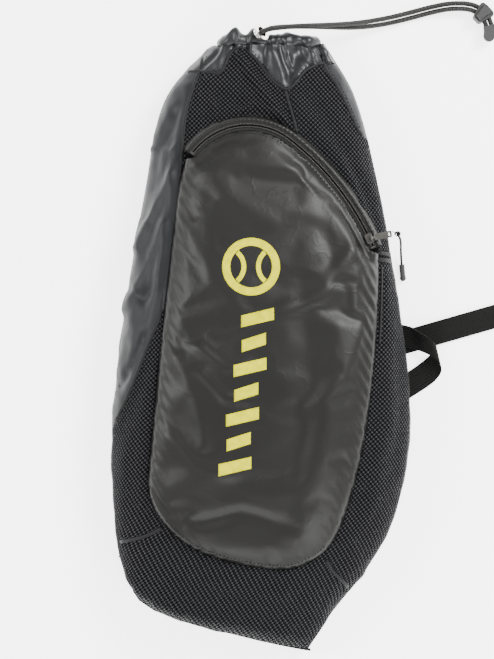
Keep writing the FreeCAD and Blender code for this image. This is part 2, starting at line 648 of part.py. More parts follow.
def cord_lock():
    """Sprung cord lock: body, button that pinches the cords, spring, and the end sleeve."""
    z0, z1 = LOCK_Z
    half_pair = (CORD_PAIR + CORD_D) / 2
    body = lock_sector(LOCK_REACH, LOCK_HALF, z0, z1)
    body = body.makeFillet(3.5, [e for e in body.Edges if abs(e.Vertexes[0].Z - e.Vertexes[1].Z) > 9])
    body = body.cut(lock_sector(PLUNGER_REACH + PLUNGER_FIT, PLUNGER_HALF + 0.5, z0 + LOCK_FLOOR, z1 + 1))
    rise = CORD_D / 2 + LOCK_FIT
    body = body.cut(lock_sector(half_pair + LOCK_FIT, LOCK_HALF + 9, LOCK_CORD_Z - rise, LOCK_CORD_Z + rise))
    save(one(body), "cord_lock_body")
    low = LOCK_CORD_Z - CORD_D / 2 - PINCH
    high = LOCK_CORD_Z + CORD_D / 2 + PINCH + BUTTON_TRAVEL
    foot = low - 1.4
    top = z1 + BUTTON_TRAVEL + BUTTON_CAP
    button = lock_sector(PLUNGER_REACH, PLUNGER_HALF, foot, top)
    button = button.cut(lock_sector(half_pair + 0.3, PLUNGER_HALF + 2, low, high))
    save(one(button), "cord_lock_button")
    x, y = polar(LOCK_ARC_C, LOCK_ARC_R, LOCK_AT)
    base = V(x, y, z0 + LOCK_FLOOR)
    length = foot - base.z
    spring = Part.makeCylinder(SPRING_D / 2, length, base)
    spring = spring.cut(Part.makeCylinder(SPRING_D / 2 - SPRING_WIRE, length, base))
    save(one(spring), "cord_lock_spring")
    reach = half_pair + SLEEVE_SKIN
    tall = CORD_D / 2 + SLEEVE_SKIN
    r = LOCK_ARC_R
    sleeve = sector(
        LOCK_ARC_C, r - reach, r + reach, SLEEVE_END, BEND_END - 0.1, LOCK_CORD_Z - tall, LOCK_CORD_Z + tall,
    )
    tx, ty = polar(LOCK_ARC_C, r, SLEEVE_END)
    tip = Part.makeCylinder(reach, 2 * tall, V(tx, ty, LOCK_CORD_Z - tall))
    save(one(sleeve.fuse(tip).removeSplitter()), "cord_end_sleeve")


def base_piping(outer):
    """Piping along the base, on the seam between the back panel and the base."""
    away = PIPING_D / 2 + 0.1
    first = plan_limit(away).Edges[0]
    path = Part.Wire(first.copy())
    path.translate(V(0, 0, BACK_SEAM_Z))
    edge = path.Edges[0]
    start, tangent = edge.valueAt(edge.FirstParameter), edge.tangentAt(edge.FirstParameter)
    tube = path.makePipeShell([Part.Wire(Part.makeCircle(PIPING_D / 2, start, tangent))], True, False)
    side = section(*STATIONS[1], 0).BoundBox
    save(one(tube.common(box(side.XMin + 3, 52, -400, 0, 0, 60)).cut(outer)), "base_piping")


# ---------------------------------------------------------------- straps
def shoulder_strap(side):
    """Padded strap: cover, foam core, ladder lock and webbings of one side."""
    name = "right" if side > 0 else "left"

    def put(shape, node):
        save(one(shape if side > 0 else mirrored(shape)), name + "_" + node)

    core = prism(strap_wire(-STRAP_COVER), STRAP_Z0 + STRAP_COVER, STRAP_Z0 + STRAP_T - STRAP_COVER)
    whole = prism(strap_wire(0), STRAP_Z0, STRAP_Z0 + STRAP_T)
    put(whole.cut(core), "shoulder_strap")
    put(core, "strap_foam")
    wide, length, thick = LOCK_FRAME
    y0, y1 = LADDER_Y
    frame = box(LADDER_X - wide / 2, LADDER_X + wide / 2, y0, y1, LADDER_Z, LADDER_Z + thick)
    x0, x1 = LADDER_X - wide / 2 + LADDER_SIDE, LADDER_X + wide / 2 - LADDER_SIDE
    gap = (length - 3 * LADDER_BAR) / 2
    for k in range(2):
        low = y0 + LADDER_BAR + k * (gap + LADDER_BAR)
        frame = frame.cut(box(x0, x1, low, low + gap, LADDER_Z - 1, LADDER_Z + thick + 1))
    put(frame, "ladder_lock")
    z = LADDER_Z + thick + 0.3
    low = y1 - LADDER_BAR - 2
    put(box(LADDER_X - WEB_W / 2, LADDER_X + WEB_W / 2, low, STRAP_END_Y - 0.1, z, z + WEB_T), "lock_webbing")


def webbings():
    """Lower webbings, free tails and anchor tabs of both sides."""
    z = WEB_Z + WEB_T / 2
    up = (0, 0, 1)
    slope = math.radians(33)
    run = (math.cos(slope), math.sin(slope))
    across = (-run[1], run[0], 0)
    loop = [
        ((112, -80, z), across, up),
        ((148.0, -56.6, z), across, up),
        ((172.0, -41.0, z), across, up),
        ((183.0, -31.5, 4.4), (-0.42, 0.9, 0.05), (-0.5, -0.3, 1)),
        ((188.6, -22.5, 11.0), (-0.24, 0.96, 0.10), (-1, -0.25, 0.25)),
        ((184.0, -13.5, 17.5), (-0.30, 0.93, 0.2), (-0.35, 0.1, -1)),
        ((174.0, -6.5, 15.5), (-0.36, 0.92, 0.12), (0.25, 0.05, -1)),
        ((162.0, -0.5, 7.6), (-0.22, 0.97, 0.03), (0.45, 0.05, -1)),
        ((149.0, 2.1, 3.0), (-0.10, 0.99, 0), (0.1, 0, -1)),
    ]
    save(band(loop), "right_lower_webbing")
    tilt = math.radians(16)
    way = (math.cos(tilt), math.sin(tilt))
    side = (-way[1], way[0], 0)
    tail = [((93.0 + way[0] * s, -21.9 + way[1] * s, z), side, up) for s in (0.0, 60.0, 120.0, 178.0)]
    hem = [((93.0 + way[0] * s, -21.9 + way[1] * s, z + WEB_T), side, up) for s in (164.0, 178.0)]
    save(one(band(tail).fuse(band(hem)).removeSplitter()), "right_webbing_tail")
    left_way = (0.336, 0.942)
    left_across = (left_way[1], -left_way[0], 0)
    left = [((-112, -80, z), left_across, up), ((-93, -26.7, z), left_across, up)]
    save(band(left), "left_lower_webbing")
    free = [((-65, -14, z), (1, 0.05, 0), up), ((-62, -140, z), (1, 0.02, 0), up)]
    save(band(free), "left_webbing_tail")
    for x, way, wide, node in ((112, run, across, "right"), (-112, left_way, left_across, "left")):
        near = (x - 0.1 * way[0], -80 - 0.1 * way[1], z)
        far = (x - 18 * way[0], -80 - 18 * way[1], z)
        save(band([(far, wide, up), (near, wide, up)]), node + "_anchor_tab")


def yoke():
    """Yoke across the strap tops."""
    y0, y1 = YOKE_Y
    save(box(-YOKE_HALF, YOKE_HALF, y0, y1, CHANNEL_TOP - YOKE_T, CHANNEL_TOP), "strap_yoke")


def main():
    """Build and write every node."""
    os.makedirs("parts", exist_ok=True)
    outer = body_panels()
    pocket(outer)
    zip_parts()
    slider()
    pull_tab()
    pull_end()
    mouth()
    draw_cords()
    cord_lock()
    base_piping(outer)
    shoulder_strap(1)
    shoulder_strap(-1)
    webbings()
    yoke()


main()
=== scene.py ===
"""Racket backpack: the visible pieces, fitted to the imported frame.

Lengths in the tables are millimetres and turn into metres through MM. +Z is up,
+Y points to the mouth, and the bag lies on its back.
"""

import logging
import math
from collections.abc import Sequence
from dataclasses import dataclass, field
from enum import Enum

import bmesh
import bpy
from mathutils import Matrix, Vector, noise
from mathutils.bvhtree import BVHTree


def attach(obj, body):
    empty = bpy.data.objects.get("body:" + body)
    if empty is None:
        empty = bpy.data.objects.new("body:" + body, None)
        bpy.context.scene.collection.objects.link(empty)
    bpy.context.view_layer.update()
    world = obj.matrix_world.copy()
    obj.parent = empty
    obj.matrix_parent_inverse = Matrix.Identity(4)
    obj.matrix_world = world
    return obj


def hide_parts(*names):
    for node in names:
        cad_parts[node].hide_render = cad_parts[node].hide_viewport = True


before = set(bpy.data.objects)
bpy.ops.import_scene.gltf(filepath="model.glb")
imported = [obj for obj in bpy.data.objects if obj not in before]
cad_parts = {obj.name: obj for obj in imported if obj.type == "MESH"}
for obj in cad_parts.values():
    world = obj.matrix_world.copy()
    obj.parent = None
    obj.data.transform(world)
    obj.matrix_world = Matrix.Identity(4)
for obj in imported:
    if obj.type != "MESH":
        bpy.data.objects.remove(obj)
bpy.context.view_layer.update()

logging.basicConfig(level=logging.INFO, format="%(message)s")
log = logging.getLogger("bag")

MM = 0.001
UP = Vector((0, 0, 1))
Point = tuple[float, float]
Place = tuple[float, float, float]

ZIP_CENTRE = (-142.05, -14.68)
ZIP_R = 280.0
ZIP_FROM, ZIP_JOIN = 22.84, 52.35
TOP_CENTRE = (-14.97, 149.99)
TOP_R = 72.0
TOP_TURN = 92.0
ZIP_Z = 72.5


# ------------------------------------------------------------------ camera and cords
VIEW_REACH = 2.6
VIEW_LIFT = 0.03
VIEW_HEIGHT = 0.6985
VIEW_CENTRE = (-0.0159, 0.009)


def link(name: str, data: bpy.types.ID) -> bpy.types.Object:
    """New object in the scene."""
    obj = bpy.data.objects.new(name, data)
    bpy.context.scene.collection.objects.link(obj)
    return obj


def set_camera() -> None:
    """A long lens that looks straight down on the bag, mouth up."""
    data = bpy.data.cameras.new("view")
    data.sensor_fit = "VERTICAL"
    data.sensor_height = 36.0
    data.lens = data.sensor_height * VIEW_REACH / VIEW_HEIGHT
    camera = link("view", data)
    camera.location = (*VIEW_CENTRE, VIEW_REACH + VIEW_LIFT)
    bpy.context.scene.camera = camera


def nurbs(
    name: str, points: Sequence[Place], diameter: float, rings: int, material: bpy.types.Material,
) -> bpy.types.Object:
    """Round cord drawn by its control points, in millimetres.

    Args:
        name: object name.
        points: control points.
        diameter: full thickness.
        rings: bevel resolution.
        material: finish of the cord.

    Returns:
        The curve object.
    """
    data = bpy.data.curves.new(name, "CURVE")
    data.dimensions = "3D"
    data.bevel_depth = diameter / 2 * MM
    data.bevel_resolution = rings
    spline = data.splines.new("NURBS")
    spline.points.add(len(points) - 1)
    for item, (x, y, z) in zip(spline.points, points):
        item.co = (x * MM, y * MM, z * MM, 1.0)
    spline.order_u = 3
    spline.use_endpoint_u = True
    data.materials.append(material)
    return link(name, data)


@dataclass
class Cord:
    """A round cord on listed control points, in millimetres."""

    name: str
    points: tuple[Place, ...]
    diameter: float
    body: str

    def build(self, material: bpy.types.Material, node: str, slot: str) -> bpy.types.Object:
        """Make the curve.

        Args:
            material: finish of the cord.
            node: CAD node that it stands for.
            slot: not used.

        Returns:
            The curve object.
        """
        obj = nurbs(self.name, self.points, self.diameter, 5, material)
        obj.data.use_fill_caps = True
        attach(obj, self.body)
        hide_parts(node)
        log.info("cord %s: %d points", self.name, len(self.points))
        return obj


CORD_A = Cord("draw_cord_long", (
    (-6.2, 318.5, 50.7), (3.4, 323.6, 58.0), (17.0, 325.2, 61.6), (33.0, 326.6, 60.6),
    (50.0, 328.0, 55.5), (69.0, 329.8, 46.0), (90.0, 332.3, 34.0), (112.0, 336.2, 22.5),
    (134.0, 341.2, 12.8), (156.0, 347.2, 7.0), (179.0, 353.4, 7.4), (201.0, 357.4, 12.5),
    (227.0, 356.5, 12.5), (242.6, 343.9, 12.5), (245.6, 331.2, 12.5),
), 5.3, "bag")
CORD_B = Cord("draw_cord_short", (
    (-3.5, 320.1, 45.9), (4.6, 324.8, 52.0), (16.5, 326.4, 55.6), (32.0, 327.2, 54.6),
    (49.6, 327.8, 49.4), (69.0, 328.4, 39.8), (90.0, 329.0, 28.0), (112.0, 331.4, 16.8),
    (134.0, 335.8, 8.0), (157.0, 341.6, 4.6), (180.0, 347.8, 6.8), (201.0, 351.6, 12.5),
    (224.9, 350.9, 12.5), (237.5, 340.7, 12.5), (239.9, 330.4, 12.5),
), 5.3, "bag")
PULL_CORD = Cord("pull_cord_line", (
    (141.7, 109.6, 58.2), (144.9, 105.8, 49.0), (146.6, 101.5, 37.5), (147.4, 97.0, 26.0),
    (148.1, 92.6, 15.5), (148.8, 87.0, 7.8), (149.6, 78.5, 4.6),
), 2.6, "pull_end")


# ------------------------------------------------------------------ finishes
MESH_PITCH = 4.9 * MM
THREAD_PITCH = 0.9 * MM
RIB_PITCH = 2.2 * MM
ROW_PITCH = 3.1 * MM


class Pattern(Enum):
    """Which procedural surface a finish carries."""

    PLAIN = "plain"
    NYLON = "nylon"
    MESH = "mesh"
    WEBBING = "webbing"
    BRAID = "braid"


class Nodes:
    """Small wrapper that adds and joins shader nodes in one tree."""

    def __init__(self, tree: bpy.types.NodeTree) -> None:
        """Keep the tree."""
        self.tree = tree

    def add(self, kind: str, **values: object) -> bpy.types.Node:
        """Add a node, setting its properties."""
        node = self.tree.nodes.new(kind)
        for key, value in values.items():
            setattr(node, key, value)
        return node

    def put(self, socket: bpy.types.NodeSocket, value: object) -> None:
        """Link a socket, or set a constant on one."""
        if isinstance(value, bpy.types.NodeSocket):
            self.tree.links.new(value, socket)
        else:
            socket.default_value = value

    def math(self, operation: str, a: object, b: object = 0.0, c: object = 0.0) -> bpy.types.NodeSocket:
        """One Math node."""
        node = self.add("ShaderNodeMath", operation=operation)
        for socket, value in zip(node.inputs, (a, b, c)):
            self.put(socket, value)
        return node.outputs[0]

    def noise(self, vector: object, scale: float, detail: float = 2.0) -> bpy.types.NodeSocket:
        """One Noise Texture value."""
        node = self.add("ShaderNodeTexNoise")
        self.put(node.inputs["Vector"], vector)
        node.inputs["Scale"].default_value = scale
        node.inputs["Detail"].default_value = detail
        return node.outputs[0]

    def ramp(
        self, value: object, low: float, high: float, to_low: float, to_high: float,
    ) -> bpy.types.NodeSocket:
        """Smooth map of a value onto a range."""
        node = self.add("ShaderNodeMapRange", interpolation_type="SMOOTHSTEP")
        for socket, item in zip(node.inputs, (value, low, high, to_low, to_high)):
            self.put(socket, item)
        return node.outputs[0]

    def split(self, vector: object) -> tuple[bpy.types.NodeSocket, ...]:
        """X, Y and Z of a vector."""
        node = self.add("ShaderNodeSeparateXYZ")
        self.put(node.inputs[0], vector)
        return tuple(node.outputs)

    def wave(self, value: object, pitch: float) -> bpy.types.NodeSocket:
        """Sine of a length, one turn to a pitch."""
        return self.math("SINE", self.math("MULTIPLY", value, 2 * math.pi / pitch))


def new_group(
    name: str, inputs: dict[str, float], outputs: tuple[str, ...],
) -> tuple[bpy.types.NodeTree, Nodes]:
    """Start a shader node group.

    Args:
        name: group name.
        inputs: float inputs and their defaults, after the Vector input.
        outputs: names of its float outputs.

    Returns:
        The group and a helper on it.
    """
    tree = bpy.data.node_groups.new(name, "ShaderNodeTree")
    tree.interface.new_socket("Vector", in_out="INPUT", socket_type="NodeSocketVector")
    for key, value in inputs.items():
        socket = tree.interface.new_socket(key, in_out="INPUT", socket_type="NodeSocketFloat")
        socket.default_value = value
    for key in outputs:
        tree.interface.new_socket(key, in_out="OUTPUT", socket_type="NodeSocketFloat")
    return tree, Nodes(tree)


def mesh_group() -> bpy.types.NodeTree:
    """Spacer mesh: round holes in offset rows, dimmed as painted shade seen through them; gives Cover, Shade and
    Height.
    """
    tree, n = new_group("spacer_mesh", {"Pitch": MESH_PITCH, "Hole": 0.27}, ("Cover", "Shade", "Height"))
    source = n.add("NodeGroupInput")
    x, y, _ = n.split(source.outputs["Vector"])
    pitch = source.outputs["Pitch"]
    across = n.math("DIVIDE", x, pitch)
    along = n.math("DIVIDE", y, pitch)
    total = None
    for shift in (0.0, 0.5):
        u = n.math("SUBTRACT", n.math("FRACT", n.math("ADD", across, shift)), 0.5)
        v = n.math("SUBTRACT", n.math("FRACT", n.math("ADD", along, shift)), 0.5)
        radius = n.math("SQRT", n.math("ADD", n.math("MULTIPLY", u, u), n.math("MULTIPLY", v, v)))
        total = radius if total is None else n.math("MINIMUM", total, radius)
    hole = source.outputs["Hole"]
    cover = n.ramp(n.math("SUBTRACT", total, hole), -0.02, 0.03, 0.6, 1.0)
    # Shade rises from 0 in the holes to 1 on the threads; used on the colour, it paints shade into the holes.
    rim = n.ramp(n.math("SUBTRACT", total, hole), 0.0, 0.2, 0.0, 1.0)
    sink = n.add("NodeGroupOutput")
    n.put(sink.inputs["Cover"], cover)
    n.put(sink.inputs["Shade"], rim)
    n.put(sink.inputs["Height"], rim)
    return tree


def weave_group() -> bpy.types.NodeTree:
    """Fine plain weave with faint creases; gives Height and Tone."""
    tree, n = new_group("nylon_weave", {"Crease": 1.0}, ("Height", "Tone"))
    source = n.add("NodeGroupInput")
    vector = source.outputs["Vector"]
    x, y, _ = n.split(vector)
    threads = n.math("MULTIPLY", n.wave(x, THREAD_PITCH), n.wave(y, THREAD_PITCH))
    soft = n.noise(vector, 26.0, 3.0)
    crease = n.math("ABSOLUTE", n.math("SUBTRACT", soft, 0.5))
    sharp = n.ramp(crease, 0.0, 0.05, 1.0, 0.0)
    creases = n.math("MULTIPLY", sharp, source.outputs["Crease"])
    height = n.math("ADD", n.math("MULTIPLY", threads, 0.04), creases)
    sink = n.add("NodeGroupOutput")
    n.put(sink.inputs["Height"], height)
    n.put(sink.inputs["Tone"], n.ramp(n.noise(vector, 9.0, 2.0), 0.3, 0.7, 0.88, 1.12))
    return tree


def webbing_group() -> bpy.types.NodeTree:
    """Woven webbing ribs along its length; gives Height and Tone, which is lighter on the rib crests and darker in the
    grooves as painted highlight and painted shade.
    """
    tree, n = new_group("webbing_ribs", {}, ("Height", "Tone"))
    source = n.add("NodeGroupInput")
    x, y, _ = n.split(source.outputs["Vector"])
    slant = n.math("ADD", x, n.math("MULTIPLY", y, 0.7))
    ribs = n.math("ADD", n.wave(slant, RIB_PITCH), n.math("MULTIPLY", n.wave(y, ROW_PITCH), 0.8))
    sink = n.add("NodeGroupOutput")
    n.put(sink.inputs["Height"], ribs)
    # Tone follows the ribs: painted highlight on the crests, painted shade in the grooves.
    n.put(sink.inputs["Tone"], n.ramp(ribs, -1.6, 1.6, 0.75, 1.25))
    return tree


def braid_group() -> bpy.types.NodeTree:
    """Crossed strands round a cord; gives Height and Fleck. Vector is (along, round, 0)."""
    tree, n = new_group("cord_braid", {"Turns": 60.0}, ("Height", "Fleck"))
    source = n.add("NodeGroupInput")
    along, turn, _ = n.split(source.outputs["Vector"])
    runs = n.math("MULTIPLY", along, source.outputs["Turns"])
    rounds = n.math("MULTIPLY", turn, 4.0)
    right = n.math("SINE", n.math("MULTIPLY", n.math("ADD", runs, rounds), 2 * math.pi))
    left = n.math("SINE", n.math("MULTIPLY", n.math("SUBTRACT", runs, rounds), 2 * math.pi))
    height = n.math("MAXIMUM", right, left)
    sink = n.add("NodeGroupOutput")
    n.put(sink.inputs["Height"], height)
    n.put(sink.inputs["Fleck"], n.ramp(n.math("MULTIPLY", right, left), 0.62, 0.86, 0.0, 1.0))
    return tree


GROUPS = {
    Pattern.MESH: mesh_group, Pattern.NYLON: weave_group,
    Pattern.WEBBING: webbing_group, Pattern.BRAID: braid_group,
}


@dataclass(frozen=True)
class Finish:
    """One material: its colour, shine and procedural surface."""

    name: str
    colour: tuple[float, float, float]
    roughness: float = 0.5
    pattern: Pattern = Pattern.PLAIN
    metallic: float = 0.0
    specular: float = 0.4
    bump: float = 0.2
    depth: float = 0.3
    uv: bool = False
    fleck: tuple[float, float, float] = (0.3, 0.28, 0.24)
    turns: float = 60.0

    def material(self) -> bpy.types.Material:
        """The material, made once."""
        if self.name in bpy.data.materials:
            return bpy.data.materials[self.name]
        material = bpy.data.materials.new(self.name)
        material.use_nodes = True
        n = Nodes(material.node_tree)
        shader = material.node_tree.nodes["Principled BSDF"]
        shader.inputs["Roughness"].default_value = self.roughness
        shader.inputs["Metallic"].default_value = self.metallic
        shader.inputs["Specular IOR Level"].default_value = self.specular
        place = n.add("ShaderNodeTexCoord")
        vector = place.outputs["UV" if self.uv else "Object"]
        base = n.add("ShaderNodeRGB")
        base.outputs[0].default_value = (*self.colour, 1.0)
        colour, height = base.outputs[0], None
        if self.pattern in GROUPS:
            key = self.pattern.value + "_group"
            tree = bpy.data.node_groups.get(key)
            if tree is None:
                tree = GROUPS[self.pattern]()
                tree.name = key
            group = n.add("ShaderNodeGroup", node_tree=tree)
            n.put(group.inputs["Vector"], vector)
            height = group.outputs["Height"]
            if self.pattern is Pattern.MESH:
                n.put(shader.inputs["Alpha"], group.outputs["Cover"])
                shade = group.outputs["Shade"]
                n.put(shader.inputs["Roughness"], n.ramp(shade, 0.0, 0.6, 1.0, self.roughness))
                # Mesh colour darkened in the holes by Shade: painted shade seen through the mesh, lighter threads
                # between.
                colour = self.shaded(n, colour, n.math("ADD", n.math("MULTIPLY", shade, 1.2), 0.12))
            elif self.pattern is Pattern.BRAID:
                group.inputs["Turns"].default_value = self.turns
                mix = n.add("ShaderNodeMix", data_type="RGBA")
                n.put(mix.inputs[0], group.outputs["Fleck"])
                n.put(mix.inputs[6], colour)
                mix.inputs[7].default_value = (*self.fleck, 1.0)
                colour = mix.outputs[2]
            else:
                # Nylon tone varies at random; webbing tone is painted highlight and shade of its ribs.
                colour = self.shaded(n, colour, group.outputs["Tone"])
        else:
            tone = n.ramp(n.noise(vector, 160.0, 3.0), 0.3, 0.7, 0.9, 1.1)
            colour = self.shaded(n, colour, tone)
            height = n.noise(vector, 900.0, 2.0)
        bump = n.add("ShaderNodeBump")
        bump.inputs["Strength"].default_value = self.bump
        bump.inputs["Distance"].default_value = self.depth * MM
        n.put(bump.inputs["Height"], height)
        n.put(shader.inputs["Normal"], bump.outputs[0])
        n.put(shader.inputs["Base Color"], colour)
        return material

    def shaded(self, n: Nodes, colour: object, tone: object) -> bpy.types.NodeSocket:
        """Colour times a grey tone."""
        scale = n.add("ShaderNodeVectorMath", operation="SCALE")
        n.put(scale.inputs[0], colour)
        n.put(scale.inputs["Scale"], tone)
        return scale.outputs[0]


SIDE_NYLON = Finish("side_nylon", (0.0078, 0.0083, 0.0096), 0.5, Pattern.NYLON, specular=0.2, bump=0.25,
                    depth=0.35)
POCKET_NYLON = Finish("pocket_nylon", (0.0065, 0.0063, 0.0056), 0.44, Pattern.NYLON, specular=0.24, bump=0.25)
SATIN = Finish("collar_satin", (0.009, 0.0098, 0.0108), 0.4, Pattern.NYLON, specular=0.35)
MESH = Finish("mesh_fabric", (0.029, 0.0295, 0.032), 0.62, Pattern.MESH, specular=0.12, bump=0.8, depth=0.7,
              uv=True)
# Lining and back fabric are black cloth, made darker still as painted shade for the inside of the bag seen through the
# mesh.
LINING = Finish("lining_fabric", (0.002, 0.002, 0.0022), 0.85, Pattern.NYLON, specular=0.05)
BACK = Finish("back_fabric", (0.0045, 0.0045, 0.005), 0.85, Pattern.WEBBING, specular=0.08)
TAPE = Finish("tape_fabric", (0.006, 0.006, 0.006), 0.65, Pattern.WEBBING, specular=0.2, bump=0.4)
COIL = Finish("coil_nylon", (0.026, 0.025, 0.022), 0.35, specular=0.4)
PIPING = Finish("piping_fabric", (0.005, 0.005, 0.0055), 0.6, Pattern.WEBBING, specular=0.2)
WEBBING = Finish("webbing_fabric", (0.0048, 0.0048, 0.0045), 0.7, Pattern.WEBBING, specular=0.12, bump=0.6,
                 depth=0.4, uv=True)
BRAID = Finish("braid_cord", (0.005, 0.005, 0.005), 0.55, Pattern.BRAID, specular=0.25, bump=0.6, depth=0.5,
               uv=True, turns=78.0, fleck=(0.09, 0.085, 0.075))
THIN_BRAID = Finish("thin_braid", (0.005, 0.005, 0.005), 0.6, Pattern.BRAID, specular=0.25, bump=0.6,
                    uv=True, turns=34.0, fleck=(0.012, 0.012, 0.012))
GUNMETAL = Finish("gunmetal_finish", (0.1, 0.095, 0.088), 0.33, metallic=1.0, bump=0.08)
CHROME = Finish("bright_wire", (0.75, 0.75, 0.76), 0.16, metallic=1.0, bump=0.03)
SILVER = Finish("pale_silver", (0.82, 0.8, 0.74), 0.26, metallic=1.0, bump=0.04)
PLASTIC = Finish("black_plastic", (0.009, 0.008, 0.008), 0.38, bump=0.1)
RUBBER = Finish("grip_rubber", (0.009, 0.009, 0.009), 0.5, bump=0.15)
STEEL = Finish("spring_steel", (0.55, 0.55, 0.56), 0.25, metallic=1.0, bump=0.02)
THREAD = Finish("sewing_thread", (0.012, 0.012, 0.013), 0.5, specular=0.2)
PRINT = Finish("yellow_print", (0.52, 0.5, 0.0), 0.6, specular=0.05, bump=0.1)


# ------------------------------------------------------------------ shape of the bag
def smooth(t: float) -> float:
    """Smoothstep of t, held to 0..1."""
    t = min(max(t, 0.0), 1.0)
    return t * t * (3 - 2 * t)


def polar(centre: Point, radius: float, degrees: float) -> Point:
    """Plan point at an angle round a centre."""
    a = math.radians(degrees)
    return centre[0] + radius * math.cos(a), centre[1] + radius * math.sin(a)


def zip_line(offset: float, steps: int = 44) -> list[Point]:
    """Plan points along both zip arcs, at an offset from the middle line."""
    flank = [ZIP_FROM + (ZIP_JOIN - ZIP_FROM) * k / steps for k in range(steps)]
    line = [polar(ZIP_CENTRE, ZIP_R + offset, a) for a in flank]
    line += [polar(TOP_CENTRE, TOP_R + offset, ZIP_JOIN + TOP_TURN * k / steps) for k in range(steps + 1)]
    return line


def curved(points: list[Point], steps: int = 6, closed: bool = False) -> list[Point]:
    """Catmull-Rom curve through plan points.

    Args:
        points: points to pass through.
        steps: pieces between two points.
        closed: whether the last point joins the first.

    Returns:
        The points of the curve.
    """
    count = len(points)
    result = []
    for k in range(count if closed else count - 1):
        if closed:
            p = [points[(k + j) % count] for j in (-1, 0, 1, 2)]
        else:
            p = [points[min(max(k + j, 0), count - 1)] for j in (-1, 0, 1, 2)]
        for step in range(steps):
            t = step / steps
            result.append(tuple(
                0.5 * (2 * b + (c - a) * t + (2 * a - 5 * b + 4 * c - d) * t * t
                       + (3 * b - a - 3 * c + d) * t ** 3)
                for a, b, c, d in zip(*p)
            ))
    if not closed:
        result.append(tuple(points[-1]))
    return result


def inside(x: float, y: float, loop: list[Point]) -> bool:
    """Whether a plan point is inside a closed loop."""
    hit = False
    for (ax, ay), (bx, by) in zip(loop, loop[1:] + loop[:1]):
        if (ay > y) != (by > y) and x < ax + (bx - ax) * (y - ay) / (by - ay):
            hit = not hit
    return hit


def distance(x: float, y: float, line: list[Point]) -> float:
    """Distance in plan from a point to a run of points."""
    best = 1e9
    for (ax, ay), (bx, by) in zip(line, line[1:]):
        dx, dy = bx - ax, by - ay
        t = ((x - ax) * dx + (y - ay) * dy) / max(dx * dx + dy * dy, 1e-9)
        t = min(max(t, 0.0), 1.0)
        best = min(best, (x - ax - t * dx) ** 2 + (y - ay - t * dy) ** 2)
    return math.sqrt(best)


def line_y(line: tuple[Point, ...], x: float) -> float:
    """y of a run of points at one x, held at its ends."""
    for (ax, ay), (bx, by) in zip(line, line[1:]):
        if ax <= x <= bx:
            return ay + (by - ay) * (x - ax) / (bx - ax)
    return line[0][1] if x < line[0][0] else line[-1][1]


@dataclass(frozen=True)
class Fold:
    """A soft ridge, or a furrow when its height is negative, along a plan line."""

    line: tuple[Point, ...]
    height: float
    width: float

    def at(self, x: float, y: float) -> float:
        """Height of the fold over a plan point."""
        d = distance(x, y, list(self.line)) / self.width
        return self.height * math.exp(-d * d) if d < 3 else 0.0


